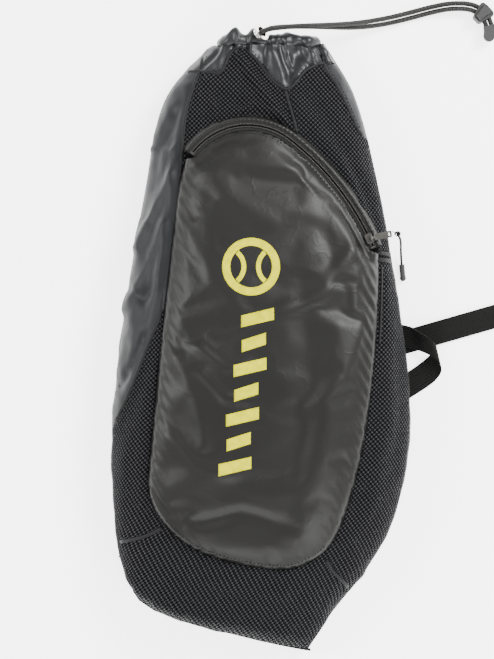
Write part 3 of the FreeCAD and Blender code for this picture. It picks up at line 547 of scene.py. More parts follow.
@dataclass
class Form:
    """Domed outer shape of the bag: sections along Y between the stations."""

    stations: tuple[tuple[float, float, float, float], ...] = (
        (-336, -128, 46, 50), (-290, -140, 76, 60), (-250, -149, 108, 69), (-200, -156, 137, 77),
        (-120, -160, 156, 85), (-30, -154, 155, 87), (70, -140, 140, 82), (160, -124, 124, 73),
        (235, -110, 106, 61), (275, -89, 90, 52), (302, -62, 73, 47), (320, -46, 63, 46),
    )
    power: float = 2.6
    side: float = 0.28
    round: float = 24.0
    seam_z: float = 18.0
    columns: int = 132
    rows: int = 190
    base_edge: tuple[Point, ...] = (
        (-200, -215), (-152, -232), (-144, -258), (-131, -277), (-112, -290), (-88, -301), (-48, -311),
        (20, -326), (90, -338),
    )
    top_y: float = 311.5

    def sizes(self, y: float) -> tuple[float, float, float]:
        """Left edge, right edge and height at a place along Y."""
        rows = self.stations
        k = 0
        while k < len(rows) - 2 and y > rows[k + 1][0]:
            k += 1
        y0, y1 = rows[k][0], rows[k + 1][0]
        t = (y - y0) / (y1 - y0)
        values = []
        for j in (1, 2, 3):
            before, after = rows[max(k - 1, 0)], rows[min(k + 2, len(rows) - 1)]
            a, b = rows[k][j], rows[k + 1][j]
            m0 = (b - before[j]) / (y1 - before[0]) * (y1 - y0)
            m1 = (after[j] - a) / (after[0] - y0) * (y1 - y0)
            values.append(
                (2 * t ** 3 - 3 * t * t + 1) * a + (t ** 3 - 2 * t * t + t) * m0
                + (-2 * t ** 3 + 3 * t * t) * b + (t ** 3 - t * t) * m1
            )
        return tuple(values)

    def across(self, y: float, degrees: float, lift: float = 0.0) -> tuple[float, float]:
        """x and z of the section at an angle; below 0 or above 180 it turns under the bag."""
        left, right, height = self.sizes(y)
        middle, half = (left + right) / 2, (right - left) / 2 + lift
        side = self.side * height
        if 0 <= degrees <= 180:
            a = math.radians(degrees)
            x = math.copysign(abs(math.cos(a)) ** (2 / self.power), math.cos(a)) * half
            return middle + x, side + (height + lift - side) * math.sin(a) ** (2 / self.power)
        under = -degrees if degrees < 0 else degrees - 180
        a = math.radians(min(under, 90.0))
        x = half - self.round + self.round * math.cos(a)
        z = side - (side - 0.4) * math.sin(a)
        return middle + (x if degrees < 0 else -x), z

    def height(self, x: float, y: float) -> float:
        """Height of the dome over a plan point."""
        left, right, height = self.sizes(y)
        u = min(abs(x - (left + right) / 2) / ((right - left) / 2), 0.999)
        side = self.side * height
        return side + (height - side) * (1 - u ** self.power) ** (1 / self.power)

    def base_y(self, x: float) -> float:
        """Where the base ends along Y, at one x."""
        return line_y(self.base_edge, x)

    def end_y(self, degrees: float) -> float:
        """Where the base ends along Y, on the line at one angle."""
        y = -290.0
        for _ in range(12):
            y = self.base_y(self.across(y, degrees)[0])
        return y

    def angles(self) -> list[float]:
        """Angles of the columns, close together where the side turns."""
        under = [-90, -72, -54, -38, -26, -16, -8]
        top = [180 * (k / self.columns) for k in range(self.columns + 1)]
        fine = [0.6, 1.2] + top[1:-1] + [178.8, 179.4]
        return under + [0.0] + fine + [180.0] + [180 - a for a in reversed(under)]

    def grid(self) -> bmesh.types.BMesh:
        """The whole skin as one grid, in millimetres, with its lengths as texture coordinates.

        Returns:
            A bmesh whose faces point outwards.
        """
        bm = bmesh.new()
        bm.loops.layers.uv.new("lengths")
        round_end = 16.0
        marks = [round_end * (1 - math.cos(math.radians(a))) for a in range(0, 90, 10)]
        angles = self.angles()
        ends = [self.end_y(a) for a in angles]
        grid, places = [], {}
        for row in range(len(marks) + self.rows):
            line = []
            for angle, end in zip(angles, ends):
                if row < len(marks):
                    y = end + marks[row]
                    drop = math.sqrt(max(1 - (1 - marks[row] / round_end) ** 2, 0.0))
                else:
                    share = (row - len(marks)) / (self.rows - 1)
                    y = end + round_end + (self.top_y - end - round_end) * share
                    drop = 1.0
                x, z = self.across(y, angle)
                if z > self.seam_z:
                    z = self.seam_z + (z - self.seam_z) * drop
                line.append(bm.verts.new((x, y, z)))
            length = 0.0
            for k, vert in enumerate(line):
                if k:
                    length += (vert.co - line[k - 1].co).length
                places[vert] = (length, vert.co.y)
            half = length / 2
            for vert in line:
                places[vert] = ((places[vert][0] - half) * MM, places[vert][1] * MM)
            grid.append(line)
        set_lengths(bm, bridge(bm, grid, OUTWARD), places)
        bmesh.ops.recalc_face_normals(bm, faces=bm.faces)
        bm.faces.ensure_lookup_table()
        middle = max(bm.faces, key=lambda f: f.calc_center_median().z)
        if middle.normal.z < 0:
            bmesh.ops.reverse_faces(bm, faces=bm.faces)
        return bm


OUTWARD = (0, 3, 2, 1)
FORM = Form()


def cut_along(bm: bmesh.types.BMesh, line: list[Point], above: float = 8.0) -> None:
    """Cut the faces under a plan line, so that panels part cleanly on it.

    Args:
        bm: skin to cut, in millimetres.
        line: plan points.
        above: faces lower than this are left alone.
    """
    for (ax, ay), (bx, by) in zip(line, line[1:]):
        dx, dy = bx - ax, by - ay
        length = math.hypot(dx, dy)
        if length < 1e-6:
            continue
        dx, dy = dx / length, dy / length
        near = []
        for face in bm.faces:
            c = face.calc_center_median()
            if abs(c.x - ax) > length + 9 or abs(c.y - ay) > length + 9 or c.z < above:
                continue
            along = (c.x - ax) * dx + (c.y - ay) * dy
            if -1.5 <= along <= length + 1.5 and abs((c.y - ay) * dx - (c.x - ax) * dy) < 6:
                near.append(face)
        geometry = set(near)
        for face in near:
            geometry.update(face.edges)
            geometry.update(face.verts)
        bmesh.ops.bisect_plane(
            bm, geom=list(geometry), dist=0.05, plane_co=(ax, ay, 0), plane_no=(-dy, dx, 0),
        )


# ------------------------------------------------------------------ making pieces
def finish_object(
    name: str, bm: bmesh.types.BMesh, finish: Finish, body: str,
    replaces: tuple[str, ...] = (), scale: bool = True,
) -> bpy.types.Object:
    """Turn a bmesh in millimetres into a shown piece.

    Args:
        name: object name.
        bm: mesh, freed here.
        finish: its material.
        body: CAD body that it rides.
        replaces: CAD nodes that it stands for.
        scale: whether the mesh is still in millimetres.

    Returns:
        The object.
    """
    if scale:
        bmesh.ops.scale(bm, vec=(MM, MM, MM), verts=bm.verts)
    data = bpy.data.meshes.new(name)
    for face in bm.faces:
        face.smooth = True
    bm.to_mesh(data)
    bm.free()
    data.materials.append(finish.material())
    obj = link(name, data)
    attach(obj, body)
    if replaces:
        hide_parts(*replaces)
    log.info("%s: %d faces", name, len(data.polygons))
    return obj


def bridge(
    bm: bmesh.types.BMesh, rows: Sequence[list[bmesh.types.BMVert]], order: tuple[int, ...] = (0, 1, 2, 3),
    closed: bool = False,
) -> list[bmesh.types.BMFace]:
    """Four-sided faces between rows of vertices.

    Args:
        bm: mesh that holds the rows.
        rows: rows of equal length.
        order: corners of each face, which sets the side that it faces.
        closed: whether each row's last vertex joins its first.

    Returns:
        The faces.
    """
    made = []
    for low, high in zip(rows, rows[1:]):
        if closed:
            low, high = low + low[:1], high + high[:1]
        for corners in zip(low, low[1:], high[1:], high):
            made.append(bm.faces.new([corners[k] for k in order]))
    return made


def closed_bar(bm: bmesh.types.BMesh, rings: list[list[bmesh.types.BMVert]]) -> None:
    """Bar through rings of vertices, capped at both ends."""
    bridge(bm, rings, closed=True)
    bm.faces.new(rings[0][::-1])
    bm.faces.new(rings[-1])


def set_lengths(bm: bmesh.types.BMesh, faces: list[bmesh.types.BMFace], places: dict) -> None:
    """Write each vertex's lengths, in metres, as texture coordinates."""
    uv = bm.loops.layers.uv["lengths"]
    for face in faces:
        for loop in face.loops:
            loop[uv].uv = places[loop.vert]


def face_up(bm: bmesh.types.BMesh) -> None:
    """Reverse the faces when most of them look down."""
    if sum(f.normal.z for f in bm.faces) < 0:
        bmesh.ops.reverse_faces(bm, faces=bm.faces)


def thicken(obj: bpy.types.Object, thickness: float, offset: float = -1.0) -> None:
    """Wall thickness, in millimetres; offset -1 grows it inwards."""
    wall = obj.modifiers.new("wall", "SOLIDIFY")
    wall.thickness = thickness * MM
    wall.offset = offset
    wall.use_even_offset = False


def tree_of(*objects: bpy.types.Object) -> BVHTree:
    """Search tree over the evaluated surfaces of some objects."""
    graph = bpy.context.evaluated_depsgraph_get()
    verts, faces = [], []
    for obj in objects:
        mesh = obj.evaluated_get(graph).to_mesh()
        start = len(verts)
        verts += [v.co.copy() for v in mesh.vertices]
        faces += [[start + i for i in p.vertices] for p in mesh.polygons]
    return BVHTree.FromPolygons(verts, faces)


def over_bag(tree: BVHTree, x: float, y: float) -> bool:
    """Whether a plan point in millimetres has the surface under it."""
    return all(tree.ray_cast(Vector(((x + d) * MM, y * MM, 0.3)), -UP)[0] is not None for d in (-5, 0, 5))


def drape(tree: BVHTree, x: float, y: float, lift: float) -> Vector:
    """Point in metres above the surface over a plan point in millimetres."""
    hit = tree.ray_cast(Vector((x * MM, y * MM, 0.3)), -UP)
    if hit[0] is None:
        return Vector((x * MM, y * MM, (FORM.height(x, y) + lift) * MM))
    return hit[0] + hit[1] * (lift * MM)


def ribbon(
    centres: list[Vector], acrosses: list[Vector], width: float, cells: int = 6, bow: float = 0.0,
) -> bmesh.types.BMesh:
    """Flat strip through centres, in millimetres, with lengths as texture coordinates.

    Args:
        centres: middle line.
        acrosses: direction of the width at each centre.
        width: full width.
        cells: faces over the width.
        bow: how far the middle stands above the edges.

    Returns:
        The strip.
    """
    bm = bmesh.new()
    bm.loops.layers.uv.new("lengths")
    rows, places, run = [], {}, 0.0
    for k, (centre, across) in enumerate(zip(centres, acrosses)):
        if k:
            run += (centre - centres[k - 1]).length
        ahead = centres[min(k + 1, len(centres) - 1)] - centres[max(k - 1, 0)]
        face = ahead.cross(across).normalized()
        line = []
        for j in range(cells + 1):
            t = 2 * j / cells - 1
            vert = bm.verts.new(centre + across.normalized() * (t * width / 2) + face * (bow * (1 - t * t)))
            places[vert] = (run * MM, t * width / 2 * MM)
            line.append(vert)
        rows.append(line)
    set_lengths(bm, bridge(bm, rows), places)
    return bm


def through(points: list[Vector], steps: int) -> list[Vector]:
    """Catmull-Rom curve through space points."""
    return [Vector(p) for p in curved([tuple(p) for p in points], steps)]


# ------------------------------------------------------------------ skin panels
@dataclass
class Panel:
    """One sewn panel of the skin."""

    name: str
    finish: Finish
    slot: str
    nodes: tuple[str, ...]
    wall: float = 1.2
    ripple: float = 0.8
    ripple_size: float = 26.0
    folds: tuple[Fold, ...] = ()

    def shape(self, bm: bmesh.types.BMesh) -> None:
        """Folds and ripples, held down at the panel's edge."""
        edge = [e for e in bm.edges if e.is_boundary]
        held = {v for e in edge for v in e.verts}
        slivers = []
        for a, b in (e.verts for e in edge):
            slivers += [a.co.copy(), b.co.copy(), b.co + UP * 0.01]
        near = BVHTree.FromPolygons(slivers, [(3 * k, 3 * k + 1, 3 * k + 2) for k in range(len(edge))])
        bm.normal_update()
        moves = {}
        for vert in bm.verts:
            if vert in held:
                continue
            found = near.find_nearest(vert.co)
            hold = smooth(found[3] / 12.0) if found[0] is not None else 1.0
            place = vert.co / self.ripple_size
            lift = self.ripple * (noise.noise(place) + 0.5 * noise.noise(place * 2.3))
            lift += sum(f.at(vert.co.x, vert.co.y) for f in self.folds)
            moves[vert] = vert.normal * (lift * hold)
        for vert, move in moves.items():
            vert.co += move

    def build(self, bm: bmesh.types.BMesh) -> bpy.types.Object:
        """Make the panel from its part of the skin."""
        self.shape(bm)
        obj = finish_object(self.name, bm, self.finish, "bag", self.nodes)
        thicken(obj, self.wall)
        return obj


COLLAR_SEAM = [(-150, 284), (-60, 281), (-44, 279), (-31, 303), (-14, 302), (24, 261), (58, 289), (150, 293)]
BASE_LEFT = [(-190, -226), (-153, -216), (-119, -206), (-96, -190), (-60, -150)]
BASE_RIGHT = [(40, -150), (67, -232), (90, -262), (112, -300), (118, -345)]
LEFT_EDGE = [(-62, 300), (-66, 282), (-76, 252), (-82, 220), (-87, 146), (-93, 100), (-100, 40), (-119, -7),
             (-143, -66), (-170, -118)]
STRIP_EDGE = [(64, 300), (66, 286), (80, 265), (92, 240), (108, 212), (150, 204)]
FRONT_EDGE = [(24, 261), (40, 199), (44, 150)]
SEWN_START = [(-79, 187), (-86, 164)]
SEWN_EDGE = [(-99, 50), (-108, -34), (-116, -119), (-118, -160), (-102, -194), (-62, -224), (10, -241),
             (50, -233), (77, -206), (99, -140), (112, -66), (118, 0)]


def pleats(x: float, y: float) -> float:
    """Gathers that fan out from the mouth, from about -1.5 to 1.5."""
    fan = (x - 8) / (0.62 + 0.38 * (307 - min(y, 307)) / 46.0)
    wobble = 2.4 * noise.noise(Vector((x / 26, y / 40, 0)))
    return math.sin(fan / 4.6 + wobble) + 0.45 * math.sin(fan / 2.3 + 2.2 * wobble)


def seam_line(points: list[Point]) -> list[Point]:
    """Dataclass field that holds the curve through a seam's points."""
    return field(default_factory=lambda: curved(points, 4))


@dataclass
class Skin:
    """All sewn panels, cut from one grid on the form."""

    collar: list[Point] = seam_line(COLLAR_SEAM)
    left: list[Point] = seam_line(LEFT_EDGE)
    base_left: list[Point] = seam_line(BASE_LEFT)
    base_right: list[Point] = seam_line(BASE_RIGHT)
    strip: list[Point] = seam_line(STRIP_EDGE)
    front: list[Point] = seam_line(FRONT_EDGE)

    def outline(self) -> list[Point]:
        """Closed outline of the pocket's seam."""
        return zip_line(7.0, 30) + curved([*SEWN_START, *SEWN_EDGE, (120, 50), (121, 80)], 4)

    def region(self, x: float, y: float, z: float, pocket: list[Point]) -> str:
        """Name of the panel that holds a point."""
        if z < FORM.seam_z:
            return "back"
        if inside(x, y, self.collar + [(200, 293), (200, 400), (-200, 400), (-200, 284)]):
            return "collar"
        if inside(x, y, pocket):
            return "lining"
        if inside(x, y, self.base_left + self.base_right + [(118, -420), (-220, -420), (-220, -226)]):
            return "base"
        if inside(x, y, self.left + [(-260, -118), (-260, 300)]):
            return "left_side"
        if x < -60 and y < 60:
            return "left_mesh"
        if inside(x, y, self.strip + [(200, 204), (200, 300)]):
            return "strip"
        if inside(x, y, self.front + [(44, 60), (-140, 60), (-140, 330), (24, 330)]):
            return "front"
        return "right_mesh"

    def pleat(self, bm: bmesh.types.BMesh) -> None:
        """Gathers of the satin collar, deeper towards the hem."""
        for vert in bm.verts:
            x, y = vert.co.x, vert.co.y
            grow = smooth((y - 264) / 40.0)
            vert.co += vert.normal * (grow * (2.0 * pleats(x, y) - 0.8))

    def build(self) -> dict[str, bpy.types.Object]:
        """Cut the skin and make each panel.

        Returns:
            The panels by region name.
        """
        whole = FORM.grid()
        pocket = self.outline()
        for line in (self.collar, self.left, self.base_left, self.base_right, self.strip, self.front):
            cut_along(whole, line, FORM.seam_z)
        level = list(whole.verts) + list(whole.edges) + list(whole.faces)
        bmesh.ops.bisect_plane(whole, geom=level, dist=0.05, plane_co=(0, 0, FORM.seam_z), plane_no=(0, 0, 1))
        names = {}
        for face in whole.faces:
            c = face.calc_center_median()
            names.setdefault(self.region(c.x, c.y, c.z, pocket), set()).add(face.index)
        panels = {}
        for key, panel in PANELS.items():
            part = whole.copy()
            part.faces.ensure_lookup_table()
            keep = names.get(key, set())
            bmesh.ops.delete(part, geom=[f for f in part.faces if f.index not in keep], context="FACES")
            part.normal_update()
            if key == "collar":
                self.pleat(part)
            panels[key] = panel.build(part)
        whole.free()
        return panels


PANELS = {
    "back": Panel("back_tray", BACK, "back_fabric", (), 2.4, 0.3, 40.0),
    "collar": Panel("collar_gathers", SATIN, "collar_nylon", ("mouth_collar",), 1.0, 1.2, 14.0, (
        Fold(((25, 262), (18, 285), (10, 306)), 3.4, 5.5), Fold(((25, 262), (33, 284), (38, 306)), -3.6, 6.0),
        Fold(((40, 272), (50, 290), (56, 306)), 3.0, 5.5), Fold(((-46, 283), (-30, 306)), 3.0, 6.0),
        Fold(((5, 284), (-4, 304)), -2.4, 4.0), Fold(((60, 292), (68, 304)), 2.0, 5.0),
        Fold(((30, 270), (24, 290), (24, 306)), -2.2, 3.5),
    )),
    "lining": Panel("pocket_back", LINING, "nylon_side", ("pocket_lining",), 1.2, 0.0),
    "base": Panel("base_mesh", MESH, "spacer_mesh", ("base_mesh_panel",), 1.4, 1.5, 34.0, (
        Fold(((-120, -215), (-60, -250), (20, -268)), 2.2, 12.0), Fold(((30, -262), (60, -300)), 2.0, 12.0),
    )),
    "left_side": Panel("left_side_nylon", SIDE_NYLON, "nylon_side", ("left_side_panel",), 1.0, 1.8, 30.0, (
        Fold(((-72, 262), (-88, 200), (-97, 130), (-108, 60)), 3.0, 10.0),
        Fold(((-84, 250), (-104, 170), (-116, 80), (-126, 0)), -2.2, 8.0),
        Fold(((-64, 272), (-70, 230), (-84, 180)), 2.6, 5.0), Fold(((-102, 90), (-118, 30), (-140, -30)), 2.0, 6.0),
        Fold(((-112, 20), (-128, -40), (-150, -90)), 2.2, 8.0), Fold(((-92, 236), (-112, 190), (-124, 130)), -2.4, 6.0),
        Fold(((-96, 172), (-112, 140), (-132, 96)), 3.0, 5.0), Fold(((-104, 120), (-122, 70), (-146, 30)), 2.8, 5.5),
        Fold(((-122, 0), (-136, -30), (-152, -50)), -2.6, 5.0), Fold(((-80, 210), (-96, 196), (-116, 200)), 2.2, 4.0),
        Fold(((-112, 60), (-126, 40), (-144, 56)), -2.0, 4.5),
    )),
    "left_mesh": Panel("left_mesh", MESH, "spacer_mesh", ("left_mesh_panel",), 1.4, 1.4, 34.0, (
        Fold(((-112, -30), (-124, -100), (-128, -170)), 2.0, 8.0), Fold(((-122, -60), (-146, -140)), 1.8, 9.0),
    )),
    "strip": Panel("right_side_nylon", SIDE_NYLON, "nylon_side", ("right_side_strip",), 1.0, 0.9, 22.0),
    "front": Panel("front_mesh", MESH, "spacer_mesh", ("upper_front_mesh",), 1.4, 0.8, 24.0, (
        Fold(((-26, 301), (-6, 270), (18, 236), (40, 205)), 8.0, 5.5),
        Fold(((-56, 262), (-30, 250), (-2, 240)), -3.0, 7.0), Fold(((-44, 224), (-8, 246), (20, 228)), 5.0, 4.0),
        Fold(((-60, 290), (-52, 250), (-40, 226)), 2.4, 6.0),
    )),
    "right_mesh": Panel("right_mesh", MESH, "spacer_mesh", ("right_mesh_panel",), 1.4, 1.5, 34.0, (
        Fold(((30, 256), (52, 226), (86, 180), (108, 130)), 3.0, 7.0),
        Fold(((48, 268), (78, 214), (110, 150), (124, 90)), -2.2, 7.0),
        Fold(((128, 60), (132, -20), (130, -100), (112, -180)), 2.2, 10.0),
        Fold(((146, 20), (148, -60), (140, -140)), -1.8, 8.0), Fold(((90, -210), (104, -250)), 2.0, 9.0),
    )),
}


# ------------------------------------------------------------------ pocket
@dataclass
class Pocket:
    """Puffed front pocket with its sewn edge, facing and wrinkles."""

    rise: float = 10.0
    edge_round: float = 20.0
    lip: float = -5.2
    lowest: float = 30.0
    folds: tuple[Fold, ...] = (
        Fold(((64, 199), (82, 160), (95, 96), (96, 30)), 3.4, 9.0),
        Fold(((46, 186), (64, 130), (74, 60)), -2.6, 9.0),
        Fold(((80, 10), (72, -60), (60, -130), (40, -200)), 4.4, 15.0),
        Fold(((40, 60), (46, -40), (34, -140)), -2.6, 12.0),
        Fold(((-76, 190), (-40, 150), (10, 120)), 1.8, 10.0), Fold(((-84, 120), (-50, 60), (-20, 30)), 1.8, 9.0),
        Fold(((-66, -10), (-40, -30), (-14, -28)), 2.6, 6.0), Fold(((-64, -34), (-38, -62), (-6, -66)), -2.6, 6.0),
        Fold(((-90, -20), (-70, -60), (-60, -110)), 2.4, 8.0), Fold(((-98, -100), (-70, -130), (-30, -140)), 2.0, 8.0),
        Fold(((90, 90), (60, 40), (20, 30)), 1.8, 8.0), Fold(((104, 20), (84, -40), (50, -70)), 2.0, 8.0),
        Fold(((-40, 205), (-20, 180), (30, 176)), 2.0, 9.0), Fold(((-60, -190), (-20, -180), (30, -196)), -2.0, 8.0),
    )

    def edge(self) -> tuple[list[Point], list[Point]]:
        """Zip side and sewn side of the pocket front's outline."""
        last = [(118.5, 0), (121, 40), (122, 70), (121, 88)]
        sewn = [*SEWN_START, (-90, 140), (-92, 120), *SEWN_EDGE[:-1], *last]
        return zip_line(self.lip, 44), curved(sewn, 5)

    def top(self, x: float, y: float, zipped: list[Point], sewn: list[Point]) -> float:
        """Height of the pocket front over a plan point."""
        body = FORM.height(x, y)
        to_sewn = distance(x, y, sewn)
        t = min(to_sewn / self.edge_round, 1.0)
        gather = 0.9 * math.sin((x * 0.8 + y * 0.5) * 0.75) * (1 - t) * min(to_sewn / 3.0, 1.0)
        z = body + 0.8 + (self.rise - 0.8) * math.sqrt(1 - (1 - t) ** 2) + gather
        to_zip = distance(x, y, zipped)
        level = ZIP_Z + 0.5 + 0.5 * smooth(to_zip / 3.0)
        return z + (level - z) * (1 - smooth((to_zip - 3.0) / 16.0))

    def front(self) -> bpy.types.Object:
        """The pocket front, settled as cloth that is a little too large for its seam."""
        zipped, sewn = self.edge()
        loop = zipped + sewn
        whole = loop + loop[:1]
        bm = FORM.grid()
        cut_along(bm, whole, self.lowest)
        gone = []
        for face in bm.faces:
            c = face.calc_center_median()
            if c.z < self.lowest or not inside(c.x, c.y, loop):
                gone.append(face)
        bmesh.ops.delete(bm, geom=gone, context="FACES")
        for vert in bm.verts:
            vert.co.z = self.top(vert.co.x, vert.co.y, zipped, sewn)
        bmesh.ops.remove_doubles(bm, verts=bm.verts, dist=0.3)
        bm.normal_update()
        moves = {}
        for vert in bm.verts:
            hold = smooth((distance(vert.co.x, vert.co.y, whole) - 2.0) / 16.0)
            place = vert.co / 30.0
            lift = 1.1 * noise.noise(place) + sum(f.at(vert.co.x, vert.co.y) for f in self.folds)
            moves[vert] = vert.normal * (lift * hold)
        for vert, move in moves.items():
            vert.co += move
        obj = finish_object("pocket_front", bm, POCKET_NYLON, "bag", ("pocket_panel",))
        settle(obj, -0.008, 0.4)
        thicken(obj, 0.8)
        return obj

    def facing(self) -> bpy.types.Object:
        """Narrow wall outside the zip, from the tape down to the skin, puckered by its stitches."""
        bm = bmesh.new()
        rows = []
        for offset, mode in ((4.9, 0), (5.6, 0), (7.0, 0), (8.0, 1), (8.7, 2), (9.2, 3), (11.0, 3)):
            line = []
            for k, (x, y) in enumerate(zip_line(offset, 90)):
                body = FORM.height(x, y)
                high = ZIP_Z + 0.6
                pucker = 0.35 * math.sin(k * 1.9) + 0.3 * noise.noise(Vector((x / 4, y / 4, 0)))
                z = {0: high + pucker, 1: high - 0.8, 2: body + 0.55 * (high - body), 3: body + 0.5}[mode]
                line.append(bm.verts.new((x, y, z)))
            rows.append(line)
        bridge(bm, rows, OUTWARD)
        bm.normal_update()
        face_up(bm)
        ends = ((ZIP_CENTRE, ZIP_R, ZIP_FROM - 0.1), (TOP_CENTRE, TOP_R, ZIP_JOIN + TOP_TURN + 0.4))
        for centre, radius, angle in ends:
            columns = []
            for k in range(12):
                x, y = polar(centre, radius + 8.6 - 1.3 * k, angle)
                body = FORM.height(x, y)
                columns.append([bm.verts.new((x, y, body + (ZIP_Z - body) * t)) for t in (0.0, 0.35, 0.7, 1.0)])
            bridge(bm, columns, (0, 1, 2, 3) if angle < ZIP_JOIN else OUTWARD)
        obj = finish_object("zip_facing", bm, POCKET_NYLON, "bag", ("pocket_facing",))
        thicken(obj, 0.6)
        return obj


def settle(obj: bpy.types.Object, shrink: float, pressure: float, cap: float = 5.0) -> None:
    """Let a panel settle as cloth with its edge sewn down, then keep the settled shape.

    Args:
        obj: panel, in place.
        shrink: negative to give the cloth spare length.
        pressure: gentle push outwards.
        cap: furthest that a point may move, in millimetres.
    """
    mesh = obj.data
    bm = bmesh.new()
    bm.from_mesh(mesh)
    edge = sorted({v.index for e in bm.edges if e.is_boundary for v in e.verts})
    bm.free()
    group = obj.vertex_groups.new(name="sewn")
    group.add(edge, 1.0, "REPLACE")
    before = [v.co.copy() for v in mesh.vertices]
    cloth = obj.modifiers.new("cloth", "CLOTH")
    cloth.settings.vertex_group_mass = "sewn"
    cloth.settings.quality = 4
    cloth.settings.mass = 0.15
    cloth.settings.bending_stiffness = 0.6
    cloth.settings.tension_stiffness = 25
    cloth.settings.compression_stiffness = 25
    cloth.settings.shrink_min = shrink
    cloth.settings.use_pressure = True
    cloth.settings.uniform_pressure_force = pressure
    cloth.settings.effector_weights.gravity = 0.0
    cloth.collision_settings.use_collision = False
    for number in range(1, 21):
        bpy.context.scene.frame_set(number)
    graph = bpy.context.evaluated_depsgraph_get()
    settled = [v.co.copy() for v in obj.evaluated_get(graph).to_mesh().vertices]
    obj.modifiers.remove(cloth)
    obj.vertex_groups.clear()
    bpy.context.scene.frame_set(1)
    for vert, old, new in zip(mesh.vertices, before, settled):
        move = new - old
        if move.length > cap * MM:
            move.length = cap * MM
        vert.co = old + move
    mesh.update()
    far = max((n - o).length for o, n in zip(before, settled)) / MM
    log.info("%s settled, furthest %.1f mm", obj.name, far)


# ------------------------------------------------------------------ seams and print
@dataclass
class Seam:
    """Row of stitches, and a narrow welt when asked, along a plan line."""

    name: str
    line: list[Point]
    welt: float = 0.0
    stitch: float = 2.6
    gap: float = 1.5
    finish: Finish = THREAD
    offset: float = 0.0

    def spaced(self, step: float) -> list[Point]:
        """Points at even steps along the line, moved sideways by the offset."""
        result, left = [], 0.0
        for (ax, ay), (bx, by) in zip(self.line, self.line[1:]):
            length = math.hypot(bx - ax, by - ay)
            if length < 1e-6:
                continue
            dx, dy = (bx - ax) / length, (by - ay) / length
            t = left
            while t < length:
                result.append((ax + dx * t - dy * self.offset, ay + dy * t + dx * self.offset))
                t += step
            left = t - length
        return result

    def stitches(self, tree: BVHTree) -> bpy.types.Object:
        """One mesh of small raised stitches."""
        bm = bmesh.new()
        points = [p for p in self.spaced(self.stitch + self.gap) if over_bag(tree, *p)]
        for (ax, ay), (bx, by) in zip(points, points[1:]):
            share = self.stitch / (self.stitch + self.gap)
            start = drape(tree, ax, ay, 0.25) / MM
            end = drape(tree, ax + (bx - ax) * share, ay + (by - ay) * share, 0.25) / MM
            run = end - start
            if run.length > 3 * self.stitch:
                continue
            side = run.cross(UP).normalized() * 0.45
            lift = side.cross(run).normalized() * 0.4
            middle = (start + end) / 2 + lift * 1.2
            rings = []
            for centre, grow in ((start, 0.35), (middle, 1.0), (end, 0.35)):
                rings.append([bm.verts.new(centre + side * (grow * s) + lift * (grow * t)) for s, t in
                              ((-1, 0), (0, 1), (1, 0), (0, -1))])
            closed_bar(bm, rings)
        bmesh.ops.recalc_face_normals(bm, faces=bm.faces)
        return finish_object(self.name + "_stitches", bm, self.finish, "bag")

    def band(self, tree: BVHTree, finish: Finish) -> bpy.types.Object:
        """Narrow folded welt that lies on the seam."""
        points = [p for p in self.spaced(3.0) if over_bag(tree, *p)]
        centres = [drape(tree, x, y, 0.3) / MM for x, y in points]
        acrosses = []
        for k in range(len(centres)):
            ahead = centres[min(k + 1, len(centres) - 1)] - centres[max(k - 1, 0)]
            side = ahead.cross(UP)
            acrosses.append(-side if side.length > 1e-6 else Vector((1, 0, 0)))
        bm = ribbon(centres, acrosses, self.welt, 4, 0.9)
        bmesh.ops.recalc_face_normals(bm, faces=bm.faces)
        face_up(bm)
        obj = finish_object(self.name + "_welt", bm, finish, "bag")
        thicken(obj, 0.5)
        return obj


